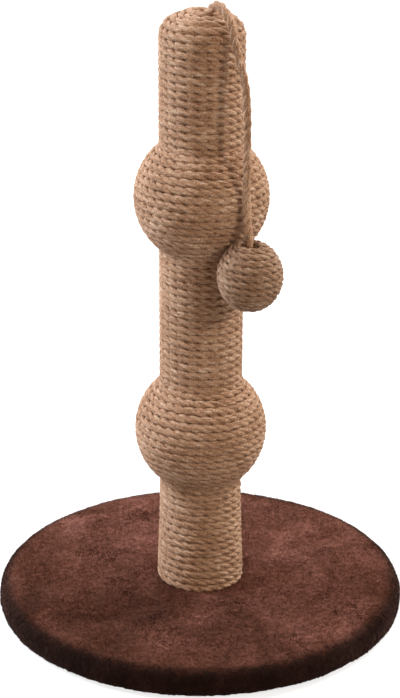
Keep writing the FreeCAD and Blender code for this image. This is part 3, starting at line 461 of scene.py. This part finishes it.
# Rigid polyurethane foam, moulded: ochre brown where the air and the glue have aged it, with
# closed cells under 1 mm across.
foam, tree, output = new_material("rigid_foam_moulded")
place = add(tree, "TexCoord").outputs["Object"]
cells = add(tree, "TexVoronoi", {"Vector": place, "Scale": 1300.0}, feature="DISTANCE_TO_EDGE")
colour = blend_of_colours(tree, cells.outputs["Distance"], (
    (0.0, "#5f4125"), (0.1, "#7c5a34"), (0.4, "#8f6a40")))
bump = add(tree, "Bump", {"Height": cells.outputs["Distance"], "Distance": 0.0003, "Strength": 0.5})
shader = add(tree, "BsdfPrincipled", {
    "Base Color": colour, "Roughness": 0.7, "IOR": 1.45, "Normal": bump.outputs["Normal"]})
tree.links.new(shader.outputs[0], output.inputs["Surface"])
finish_nodes(foam, "upper_bulge_form", "lower_bulge_form")

# ---------------------------------------------------------------------------------------
# Rope on the post
# One length of three-strand jute rope, glued and wound tightly from the foot over both bulges
# and the rounded shoulder, up to a last turn round the cord's hole.
# ---------------------------------------------------------------------------------------
FLOOR_OF_ROPE, TUBE_TOP, POST_TOP = 23.2 * MM, 457.9 * MM, 474 * MM
PATH_RADIUS, BALL_PATH, BRIDGE = 28.85 * MM, 47.85 * MM, 10 * MM
SHOULDER_PATH, SLOPE = 12.3 * MM, math.radians(8)
BULGES = (149.2 * MM, 336.6 * MM)
PITCH, LAST_PITCH, FIRST_ANGLE = 5.95 * MM, 7.9 * MM, math.radians(-88)
SPLITS = (12.75, 30.75, 46.75, 64.75, 75.75)
ROPE_RADIUS, LAY = 3.5 * MM, 25 * MM
ROPE_ROOM, ROPE_RAISED = 3.1 * MM, 0.3 * MM
STRAND_OFFSET, STRAND_RADIUS = 0.45, 0.59


def over_bulge(height):
    """Half section over one ball: a bridge arc, the ball's arc, and a bridge arc."""
    drop = math.sqrt((BALL_PATH + BRIDGE) ** 2 - (PATH_RADIUS + BRIDGE) ** 2)
    tilt = math.atan2(drop, PATH_RADIUS + BRIDGE)
    side = PATH_RADIUS + BRIDGE
    return np.vstack([
        arc((side, height - drop), BRIDGE, math.pi, math.pi - tilt, 0.2 * MM),
        arc((0, height), BALL_PATH, -tilt, tilt, 0.2 * MM)[1:],
        arc((side, height + drop), BRIDGE, math.pi + tilt, math.pi, 0.2 * MM)[1:],
    ])


def along_of(points):
    """Distance along a line of points, from its first point."""
    return np.concatenate([[0], np.cumsum(np.linalg.norm(np.diff(points, axis=0), axis=1))])


section = np.vstack([
    [(PATH_RADIUS, FLOOR_OF_ROPE)], over_bulge(BULGES[0]), over_bulge(BULGES[1]),
    arc((PATH_RADIUS - SHOULDER_PATH, TUBE_TOP), SHOULDER_PATH, 0, math.pi / 2 - SLOPE, 0.2 * MM),
    stepped([(13.5 * MM, POST_TOP - 1.8 * MM), (8.0 * MM, POST_TOP + 0.4 * MM), (5.6 * MM, POST_TOP - 3 * MM)],
            0.2 * MM),
])
run = along_of(section)
TURNS = (run[-1] - PITCH - LAST_PITCH) / PITCH + 2


def wound(turn, section, first_pitch, pitch, last_pitch, turns, first_angle, wander=0.0, seed=0):
    """Centres and outward normals of a rope wound clockwise (from above) up a half section.

    The distance along the section grows by one pitch each turn, and the first and last turn
    have their own pitch. wander is how far slow waves move a turn along the section.
    """
    run = along_of(section)
    gone = np.interp(turn, [-9, 0, 1, turns - 1, turns],
                     [-9 * first_pitch, 0, first_pitch, run[-1] - last_pitch, run[-1]])
    angle = first_angle - 2 * math.pi * turn
    if wander:
        where = np.column_stack([gone, 0.028 * np.cos(angle), 0.028 * np.sin(angle)])
        gone = gone + wander * waves(where, 0.12, 0.04, seed) * np.clip(gone / 0.02, 0, 1)
    gone = np.clip(gone, 0, run[-1])
    r, z = np.interp(gone, run, section[:, 0]), np.interp(gone, run, section[:, 1])
    slope = np.gradient(section, axis=0) / np.linalg.norm(np.gradient(section, axis=0), axis=1)[:, None]
    out, up = np.interp(gone, run, slope[:, 1]), -np.interp(gone, run, slope[:, 0])
    centres = np.column_stack([r * np.cos(angle), r * np.sin(angle), z])
    outward = np.column_stack([out * np.cos(angle), out * np.sin(angle), up])
    return centres, outward


def laid_rope(centres, outward, radius, lay, seed, points=8, room=None, squash=None):
    """Three strands laid right-handed round a line of centres.

    At each centre, N is the outward direction made square to the line's heading T, and
    B = T x N. Strand k's middle is at 0.45 radius along N cos p + B sin p, with
    p = 2 pi (distance / lay + k / 3), and its surface is 0.59 radius round that. Both vary a
    little along the rope. room is how far a rope that is worn flat stands out, and n, the
    distance along N, is pressed to n / (1 + |n / room|^8)^(1/8). squash scales the (N, B)
    directions. The uv is (distance, distance round the strand), leaned so that lines of equal
    v run along the rope, as its fibres do. Returns the surface (3, centres, points, 3), the
    strands' middles and the uv.
    """
    rng = np.random.default_rng(seed)
    distance = along_of(centres)
    heading = np.gradient(centres, axis=0)
    heading /= np.linalg.norm(heading, axis=1)[:, None]
    normal = outward - heading * (outward * heading).sum(axis=1)[:, None]
    normal /= np.linalg.norm(normal, axis=1)[:, None]
    beside = np.cross(heading, normal)
    squash = np.ones((len(centres), 2)) if squash is None else squash
    around = np.linspace(-math.pi, math.pi, points, endpoint=False)
    marks = np.arange(0, distance[-1] + 0.03, 0.009)
    surface, middles, uvs = [], [], []
    for strand in range(3):
        thickness = 1 + np.interp(distance, marks, rng.normal(0, 0.05, len(marks)))
        drift = np.interp(distance, marks, rng.normal(0, 0.10, len(marks)))
        phase = 2 * math.pi * (distance / lay + strand / 3) + drift
        out = STRAND_OFFSET * radius * np.cos(phase)[:, None]
        up = STRAND_OFFSET * radius * np.sin(phase)[:, None]
        roughness = 1 + rng.normal(0, 0.03, (len(centres), points))
        rim = STRAND_RADIUS * radius * thickness[:, None] * roughness
        n, b = out + rim * np.cos(around), up + rim * np.sin(around)
        if room:
            n = n / (1 + np.abs(n / room) ** 8) ** (1 / 8)
        n, b = n * squash[:, :1], b * squash[:, 1:]
        out, up = out * squash[:, :1], up * squash[:, 1:]
        surface.append(centres[:, None] + n[..., None] * normal[:, None] + b[..., None] * beside[:, None])
        middles.append(centres + out * normal + up * beside)
        v = (around * STRAND_RADIUS * radius
             + distance[:, None] * (2 * math.pi * STRAND_OFFSET * radius / lay))
        uvs.append(np.stack([distance[:, None] + 0 * v + strand * 7.0, v + strand * 0.3], axis=2))
    return np.array(surface), np.array(middles), np.array(uvs)


def rope_piece(name, rope, first, last, body, material=None):
    """A mesh of a laid rope from one of its centres to another, its strands capped at both ends."""
    surface, middles, uvs = (part[:, first:last + 1] for part in rope)
    rows, points = surface.shape[1:3]
    each = rows * points + 2
    one = np.vstack([
        halved(ring_faces(rows, points, False)[:, ::-1]),
        fan(rows * points, np.arange(points), False),
        fan(rows * points + 1, (rows - 1) * points + np.arange(points)),
    ])
    faces = np.vstack([one + each * strand for strand in range(3)])
    spots = [np.vstack([surface[k].reshape(-1, 3), middles[k][[0, -1]]]) for k in range(3)]
    uv = [np.vstack([uvs[k].reshape(-1, 2), uvs[k][[0, -1], 0]]) for k in range(3)]
    return new_piece(name, np.vstack(spots), faces, body, material or jute, np.vstack(uv))


def jute_finish(name, dark, brown, tan, pale):
    """Jute fibres along the rope, drawn a dozen as one so that the streaks show, with flecks."""
    material, tree, output = new_material(name)
    threads = add(tree, "UVMap", uv_map="UVMap")
    stretch = add(tree, "Mapping", {"Vector": threads.outputs[0], "Scale": (0.05, 1.0, 1.0)})
    streaks = add(tree, "TexNoise", {
        "Vector": stretch.outputs[0], "Scale": 2600.0, "Detail": 4.0, "Roughness": 0.65})
    stretch_long = add(tree, "Mapping", {"Vector": threads.outputs[0], "Scale": (0.12, 1.0, 1.0)})
    bundles = add(tree, "TexNoise", {"Vector": stretch_long.outputs[0], "Scale": 420.0, "Detail": 2.0})
    place = add(tree, "TexCoord").outputs["Object"]
    clouds = add(tree, "TexNoise", {"Vector": place, "Scale": 45.0, "Detail": 3.0, "Roughness": 0.6})
    flecks = add(tree, "TexNoise", {"Vector": place, "Scale": 800.0, "Detail": 2.0, "Roughness": 0.7})
    share = add(tree, "Math", {0: streaks.outputs["Fac"], 1: 0.3}, operation="MULTIPLY")
    for part, weight in ((bundles, 0.25), (flecks, 0.3), (clouds, 0.15)):
        share = add(tree, "Math", {0: part.outputs["Fac"], 1: weight, 2: share.outputs[0]},
                    operation="MULTIPLY_ADD")
    colour = blend_of_colours(tree, share.outputs[0], (
        (0.38, dark), (0.45, brown), (0.53, tan), (0.63, pale)))
    height = streaks.outputs["Fac"]
    for part, weight in ((bundles, 1.5), (flecks, 2.0)):
        height = add(tree, "Math", {0: part.outputs["Fac"], 1: weight, 2: height},
                     operation="MULTIPLY_ADD").outputs[0]
    bump = add(tree, "Bump", {"Height": height, "Distance": 0.0006, "Strength": 1.0})
    shader = add(tree, "BsdfPrincipled", {
        "Base Color": colour, "Roughness": 0.85, "IOR": 1.5, "Specular IOR Level": 0.25,
        "Sheen Weight": 0.1, "Sheen Roughness": 0.5, "Normal": bump.outputs["Normal"]})
    tree.links.new(shader.outputs[0], output.inputs["Surface"])
    return material


# Jute, spun and laid dry: matt tan fibres a tenth of a millimetre thick that run along the rope,
# some straw pale and some bark brown, and dark brown in random streaks and flecks.
jute = jute_finish("jute_rope_laid", "#5c3a25", "#a1795a", "#c59e7f", "#efd8be")

# The tucked start lies flat under the first turn, so it is squeezed to fit the space there. The
# foot of the winding bulges, most at its lowest turn and up to 75 mm above it, and the rope's
# end is thinned and tucked in the hole. The rings of points are 1.6 mm apart along the rope.
TUCK, RING_STEP = 0.3, 1.6 * MM
FOOT_BULGE, BULGE_FROM, BULGE_OVER = 1.9 * MM, 20 * MM, 75 * MM
even = np.linspace(0, TURNS, 4000)
speed = 2 * math.pi * np.interp(even / TURNS * run[-1], run, section[:, 0]) / RING_STEP
rings = np.concatenate([[0], np.cumsum((speed[1:] + speed[:-1]) / 2 * np.diff(even))])
turn = np.interp(np.arange(0, rings[-1], 1.0), rings, even)
turn = np.unique(np.concatenate([turn, SPLITS, [TURNS]]))
tucked = np.linspace(-TUCK, 0, 40)[:-1]
turn = np.concatenate([tucked, turn])
centres, outward = wound(turn, section, PITCH, PITCH, LAST_PITCH, TURNS, FIRST_ANGLE, 0.35 * MM, 11)
marks = np.arange(-1, TURNS + 1, 0.08)
centres[:, 2] += np.interp(turn, marks, np.random.default_rng(12).normal(0, 0.10 * MM, len(marks)))
centres += ROPE_RAISED * outward
low = np.clip((centres[:, 2] - BULGE_FROM) / BULGE_OVER, 0, 1)
centres[:, :2] *= 1 + (FOOT_BULGE * (1 - low * low * (3 - 2 * low)) / PATH_RADIUS)[:, None]
squash = np.ones((len(turn), 2))
space = np.clip(PITCH * (1 + tucked) - 0.2 * MM, 0, PITCH)
squash[:len(tucked), 1] = space / (2 * ROPE_RADIUS)
centres[:len(tucked), 2] = 20.3 * MM + space / 2
squash *= np.clip((TURNS - turn) / 0.3, 0.4, 1)[:, None]
post_rope = laid_rope(centres, outward, ROPE_RADIUS, LAY, 13, room=ROPE_ROOM, squash=squash)
ends = [0, *np.searchsorted(turn, SPLITS), len(turn) - 1]
for node, first, last in zip(("rope_bottom_stretch", "rope_lower_bulge", "rope_middle_stretch",
                              "rope_upper_bulge", "rope_upper_stretch", "rope_top_spiral"), ends, ends[1:]):
    piece = rope_piece(node.replace("rope_", "jute_"), post_rope, first, last, "post")
    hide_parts(node)


# Loose jute fibres, bleached on the outside of the rope: straw pale, and a few bark brown.
loose, tree, output = new_material("jute_fibre_loose")
each = add(tree, "TexWhiteNoise", {"Vector": add(tree, "UVMap", uv_map="UVMap").outputs[0]},
           noise_dimensions="2D")
colour = blend_of_colours(tree, each.outputs["Value"], (
    (0.1, "#6b482f"), (0.3, "#b89173"), (0.6, "#dcbf9f"), (1.0, "#efdcc4")))
shader = add(tree, "BsdfPrincipled", {
    "Base Color": colour, "Roughness": 0.7, "IOR": 1.5, "Specular IOR Level": 0.3})
tree.links.new(shader.outputs[0], output.inputs["Surface"])


def stray_fibres(name, rope, count, seed, body, longest=7 * MM):
    """Loose fibres: ribbons 0.16 mm wide that leave a strand's surface and curl away from it.

    Each starts at a random surface point q with outward direction n and heading t. Its point
    at share u is q + t l u + n (h u) + b (c u^2), tapering to a tip, for a length l, a rise h
    and a curl c of its own.
    """
    rng = np.random.default_rng(seed)
    surface, middles, _ = rope
    strand = rng.integers(0, 3, count)
    row = rng.integers(2, surface.shape[1] - 2, count)
    spot = rng.integers(0, surface.shape[2], count)
    start = surface[strand, row, spot]
    out = start - middles.mean(axis=0)[row]
    out /= np.linalg.norm(out, axis=1)[:, None]
    heading = surface[strand, row + 1, spot] - surface[strand, row - 1, spot]
    heading /= np.linalg.norm(heading, axis=1)[:, None]
    heading *= rng.choice([-1, 1], count)[:, None]
    beside = np.cross(heading, out)
    length = rng.uniform(0.35, 1, count)[:, None] ** 1.5 * longest
    rise = rng.uniform(0.06, 0.35, count)[:, None] * length
    curl = rng.normal(0, 0.35, count)[:, None] * length
    share = np.linspace(0, 1, 5)[None, :, None]
    line = (start[:, None] + heading[:, None] * length[:, None] * share
            + out[:, None] * rise[:, None] * share ** 1.2 + beside[:, None] * curl[:, None] * share ** 2)
    width = 0.08 * MM * (1 - 0.7 * share)
    spots = np.concatenate([line + beside[:, None] * width, line - beside[:, None] * width], axis=1)
    first = 10 * np.arange(count)[:, None]
    step = np.arange(4)[None, :]
    faces = np.stack([first + step, first + step + 5, first + step + 6, first + step + 1], axis=2)
    uv = np.repeat(rng.uniform(0, 100, (count, 2)), 10, axis=0)
    return new_piece(name, spots.reshape(-1, 3), faces.reshape(-1, 4), body, loose, uv)


stray_fibres("post_stray_fibres", post_rope, 16000, 14, "post", 5 * MM)

# ---------------------------------------------------------------------------------------
# Hanging toy
# A turned wooden ball, bored through and pocketed for the knot, with one jute rope glued and
# wound round it from the pocket up to the cord.
# ---------------------------------------------------------------------------------------
# Beech, turned and left bare: pinkish tan with short dark flecks about 2 mm long.
beech, tree, output = new_material("beech_turned")
place = add(tree, "TexCoord").outputs["Object"]
grain = add(tree, "Mapping", {"Vector": place, "Scale": (1.0, 1.0, 0.25)})
flecks = add(tree, "TexNoise", {"Vector": grain.outputs[0], "Scale": 1500.0, "Detail": 2.0})
bands = add(tree, "TexNoise", {"Vector": grain.outputs[0], "Scale": 200.0, "Detail": 2.0})
share = add(tree, "Math", {0: flecks.outputs["Fac"], 1: bands.outputs["Fac"]}, operation="MULTIPLY")
colour = blend_of_colours(tree, share.outputs[0], ((0.12, "#8f6238"), (0.22, "#c1925f"), (0.4, "#d3a877")))
bump = add(tree, "Bump", {"Height": flecks.outputs["Fac"], "Distance": 0.0001, "Strength": 0.3})
shader = add(tree, "BsdfPrincipled", {
    "Base Color": colour, "Roughness": 0.55, "IOR": 1.5, "Normal": bump.outputs["Normal"]})
tree.links.new(shader.outputs[0], output.inputs["Surface"])
finish_nodes(beech, "toy_core")

TOY_MIDDLE = np.array([0, -60.72 * MM, 290.6 * MM])
CORE_RADIUS, CORE_HALF, PATH_LIFT = 19.7 * MM, 22.2 * MM, 2.475 * MM
TOY_ROPE_RADIUS, TOY_PITCH, TOY_LAY, TOY_ROOM = 3.0 * MM, 5.1 * MM, 21 * MM, 2.6 * MM
POCKET_TURN, CORD_TURN = 9.3 * MM, 6.6 * MM
angle = np.linspace(-math.pi / 2, math.pi / 2, 721)
square_to = np.column_stack([np.cos(angle) / CORE_RADIUS, np.sin(angle) / CORE_HALF])
square_to /= np.linalg.norm(square_to, axis=1)[:, None]
toy_section = np.column_stack([CORE_RADIUS * np.cos(angle), CORE_HALF * np.sin(angle)]) + PATH_LIFT * square_to
toy_section = toy_section[toy_section[:, 0] >= np.where(toy_section[:, 1] < 0, POCKET_TURN, CORD_TURN)]
toy_run = along_of(toy_section)
toy_turns = toy_run[-1] / TOY_PITCH
radius_now = np.interp(np.linspace(0, 1, 900), toy_run / toy_run[-1], toy_section[:, 0])
rings = np.concatenate([[0], np.cumsum(2 * math.pi * radius_now[1:] * toy_turns / 899 / (1.1 * MM))])
turn = np.interp(np.arange(0, rings[-1], 1.0), rings, np.linspace(0, toy_turns, 900))
centres, outward = wound(turn, toy_section, TOY_PITCH, TOY_PITCH, TOY_PITCH, toy_turns, 0.0)
toy_rope = laid_rope(centres + TOY_MIDDLE, outward, TOY_ROPE_RADIUS, TOY_LAY, 15, room=TOY_ROOM)
# The toy's rope is the same jute in darker, browner tones.
jute_darker = jute_finish("jute_rope_darker", "#4e3120", "#8b674b", "#aa876b", "#cfb9a0")
toy_winding = rope_piece("jute_toy_winding", toy_rope, 0, len(centres) - 1, "toy_ball", jute_darker)
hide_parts("toy_winding")
stray_fibres("toy_stray_fibres", toy_rope, 1200, 16, "toy_ball", 4 * MM)

# ---------------------------------------------------------------------------------------
# Cord
# The same jute rope, knotted in the tube, led up the plug's hole, over the shoulder and down
# beside the upper bulge, through the ball to a knot in its underside.
# ---------------------------------------------------------------------------------------
CORD_RADIUS, CORD_LAY = 2.9 * MM, 24 * MM
CORD_ROUTE = [
    (0, 0, 428), (0, 0, 440), (0, 0, 452), (0, 0, 466.5), (0, -3.0, 471.5), (0, -9.5, 477.2),
    (0, -14.8, 482.0), (0, -20.5, 482.6), (0, -27.0, 480.2), (0, -33.2, 474.0), (0, -37.5, 466.5),
    (0, -42.0, 452.5), (0, -52.6, 433.0), (0, -55.6, 408.0), (0, -55.4, 372.0), (0, -54.9, 336.6),
    (0, -55.6, 327.0), (0, -60.72, 315.0), (0, -60.72, 277.7),
]


def smooth_line(route, spacing):
    """Points on the NURBS spline whose control points are the route's, in metres, evenly spaced."""
    curve = bpy.data.curves.new("route", "CURVE")
    curve.dimensions = "3D"
    curve.resolution_u = 24
    spline = curve.splines.new("NURBS")
    spline.points.add(len(route) - 1)
    control = np.column_stack([np.array(route) * MM, np.ones(len(route))])
    spline.points.foreach_set("co", control.astype(np.float32).ravel())
    spline.order_u = 3
    spline.use_endpoint_u = True
    holder = bpy.data.objects.new("route", curve)
    mesh = bpy.data.meshes.new_from_object(holder)
    points = np.empty(3 * len(mesh.vertices))
    mesh.vertices.foreach_get("co", points)
    points = points.reshape(-1, 3)
    bpy.data.objects.remove(holder)
    bpy.data.curves.remove(curve)
    bpy.data.meshes.remove(mesh)
    gone = along_of(points)
    even = np.linspace(0, gone[-1], round(gone[-1] / spacing) + 1)
    return np.column_stack([np.interp(even, gone, points[:, axis]) for axis in range(3)])


cord_line = smooth_line(CORD_ROUTE, 1.1 * MM)
# Its lay is looser, and the cord thicker, over the post's top and just above the ball.
level = cord_line[:, 2]
loosened = 1 + (0.14 * np.clip((level - 0.462) / 0.010, 0, 1)
                + 0.28 * np.interp(level, [0.3195, 0.3235, 0.336, 0.360], [0, 1, 1, 0]))
cord_rope = laid_rope(cord_line, np.tile([1.0, 0.0, 0.0], (len(cord_line), 1)), CORD_RADIUS, CORD_LAY, 17,
                      points=10, squash=np.column_stack([loosened, loosened]))
over_top = int(np.argmax(cord_line[:, 2]))
halfway = int(np.argmax((cord_line[:, 1] < -0.05) & (cord_line[:, 2] < 0.400)))


def knot_piece(name, middle, reach, height, radius, body, seed):
    """A stopper knot: a rope of three strands along a trefoil, the closed form of an overhand
    knot: reach/3 (sin t + 2 sin 2t, cos t - 2 cos 2t) across, and -height sin 3t up."""
    t = np.linspace(0, 2 * math.pi, 121)
    line = np.column_stack([reach / 3 * (np.sin(t) + 2 * np.sin(2 * t)),
                            reach / 3 * (np.cos(t) - 2 * np.cos(2 * t)), -height * np.sin(3 * t)]) + middle
    away = np.tile([0.0, 0.0, 1.0], (len(line), 1)) + 0.3 * (line - middle) / reach
    return rope_piece(name, laid_rope(line, away, radius, 14 * MM, seed), 0, len(line) - 1, body)


top_knot = knot_piece("jute_top_knot", np.array([0, 0, 430.4 * MM]), 4.2 * MM, 2.2 * MM, 2.2 * MM, "post", 18)
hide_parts("cord_top_knot")
ball_knot = knot_piece("jute_ball_knot", np.array([0, -60.72 * MM, 275.3 * MM]), 4.2 * MM, 2.2 * MM,
                       2.1 * MM, "cord_to_toy", 19)
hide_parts("toy_knot")

# Up the hole and over the top.
cord_up = rope_piece("jute_cord_up", cord_rope, 0, over_top, None)
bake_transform(cord_up)
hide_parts("cord_anchor", "cord_saddle")
# Over the shoulder and down to the bulge.
cord_down = rope_piece("jute_cord_down", cord_rope, over_top, halfway, None)
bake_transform(cord_down)
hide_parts("cord_upper")
cord_fibres = stray_fibres("cord_stray_fibres", tuple(part[:, over_top:halfway] for part in cord_rope), 260, 20,
                           None, 9 * MM)
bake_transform(cord_fibres)
# Past the bulge and into the ball.
cord_to_ball = rope_piece("jute_cord_to_ball", cord_rope, halfway, len(cord_line) - 1, None)
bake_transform(cord_to_ball)
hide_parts("cord_lower")

# ---------------------------------------------------------------------------------------
# Studio
# A white floor and backdrop, two soft side lights, a small light in front and one behind, and
# a long-lens camera above the level of the post's top, tilted down by 21 degrees.
# ---------------------------------------------------------------------------------------


def seen_directly(tree):
    """A node that gives 1 to rays from the camera, mirror-like or through glass, 0 to others."""
    path = add(tree, "LightPath")
    seen = add(tree, "Math", {0: path.outputs["Is Camera Ray"], 1: path.outputs["Is Glossy Ray"]},
               operation="MAXIMUM")
    return add(tree, "Math", {0: seen.outputs[0], 1: path.outputs["Is Transmission Ray"]},
               operation="MAXIMUM")


# The floor: it glows for the camera, less near the post so that the post's shadow shows.
paper, tree, output = new_material("studio_floor_white")
diffuse = add(tree, "BsdfDiffuse", {"Color": "#9c9c9c"})
place = add(tree, "TexCoord").outputs["Object"]
reach = add(tree, "VectorMath", {0: place}, operation="LENGTH").outputs["Value"]
white = add(tree, "MapRange", {
    "Value": reach, "From Min": 0.25, "From Max": 1.2, "To Min": 0.78, "To Max": 1.0})
glow = add(tree, "Emission", {"Color": "#ffffff", "Strength": white.outputs["Result"]})
dim = add(tree, "BsdfDiffuse", {"Color": "#969696"})
seen_floor = add(tree, "AddShader", {0: dim.outputs[0], 1: glow.outputs[0]})
seen = seen_directly(tree)
mix = add(tree, "MixShader", {0: seen.outputs[0], 1: diffuse.outputs[0], 2: seen_floor.outputs[0]})
tree.links.new(mix.outputs[0], output.inputs["Surface"])
floor_grid = np.array([(x, y, -0.05 * MM) for x in (-12, 12) for y in (-12, 12)])
floor = new_piece("studio_floor", floor_grid, [(0, 2, 3, 1)], None, paper)

world = bpy.data.worlds.new("studio_air")
bpy.context.scene.world = world
world.use_nodes = True
tree = world.node_tree
tree.nodes.clear()
output = add(tree, "OutputWorld")
seen = seen_directly(tree)
air = add(tree, "Background", {"Color": "#ffe8d4", "Strength": 0.5})
backdrop = add(tree, "Background", {"Color": "#ffffff", "Strength": 1.0})
mix = add(tree, "MixShader", {0: seen.outputs[0], 1: air.outputs[0], 2: backdrop.outputs[0]})
tree.links.new(mix.outputs[0], output.inputs["Surface"])


def softbox(name, spot, aim, width, height, watts, code="#ffffff"):
    """A rectangular area light at spot that faces aim."""
    light = bpy.data.lights.new(name, "AREA")
    light.shape, light.size, light.size_y, light.energy = "RECTANGLE", width, height, watts
    light.color = linear(code)[:3]
    lamp = bpy.data.objects.new(name, light)
    lamp.location = spot
    lamp.rotation_euler = (Vector(aim) - Vector(spot)).to_track_quat("-Z", "Y").to_euler()
    bpy.context.scene.collection.objects.link(lamp)


RIGHT, AHEAD = np.array([0.8090, -0.5878, 0.0]), np.array([0.5878, 0.8090, 0.0])
softbox("left_light", tuple(-1.35 * RIGHT + 0.27 * AHEAD + [0, 0, 1.08]), (0, 0, 0.30), 0.5, 1.3, 41, "#eef4ff")
softbox("right_light", tuple(1.3 * RIGHT + 0.72 * AHEAD + [0, 0, 1.35]), (0, 0, 0.36), 0.4, 1.0, 28)
softbox("front_light", tuple(1.2 * RIGHT - 1.05 * AHEAD + [0, 0, 1.1]), (0, 0, 0.3), 0.2, 0.2, 9, "#fff1e2")
softbox("back_light", tuple(-0.3 * RIGHT + 1.3 * AHEAD + [0, 0, 1.3]), (0, 0, 0.1), 0.9, 0.7, 18)

camera = bpy.data.objects.new("camera", bpy.data.cameras.new("camera"))
bpy.context.scene.collection.objects.link(camera)
camera.data.lens = 103.6
camera.data.sensor_width = 36
camera.location = (-0.8452, -1.1620, 0.7744)
camera.rotation_mode = "QUATERNION"
level = Vector((0.5476, 0.7537, -0.3634)).to_track_quat("-Z", "Y")
camera.rotation_quaternion = level @ Quaternion((0, 0, 1), math.radians(0.22))
bpy.context.scene.camera = camera
bpy.context.scene.view_settings.view_transform = "Standard"
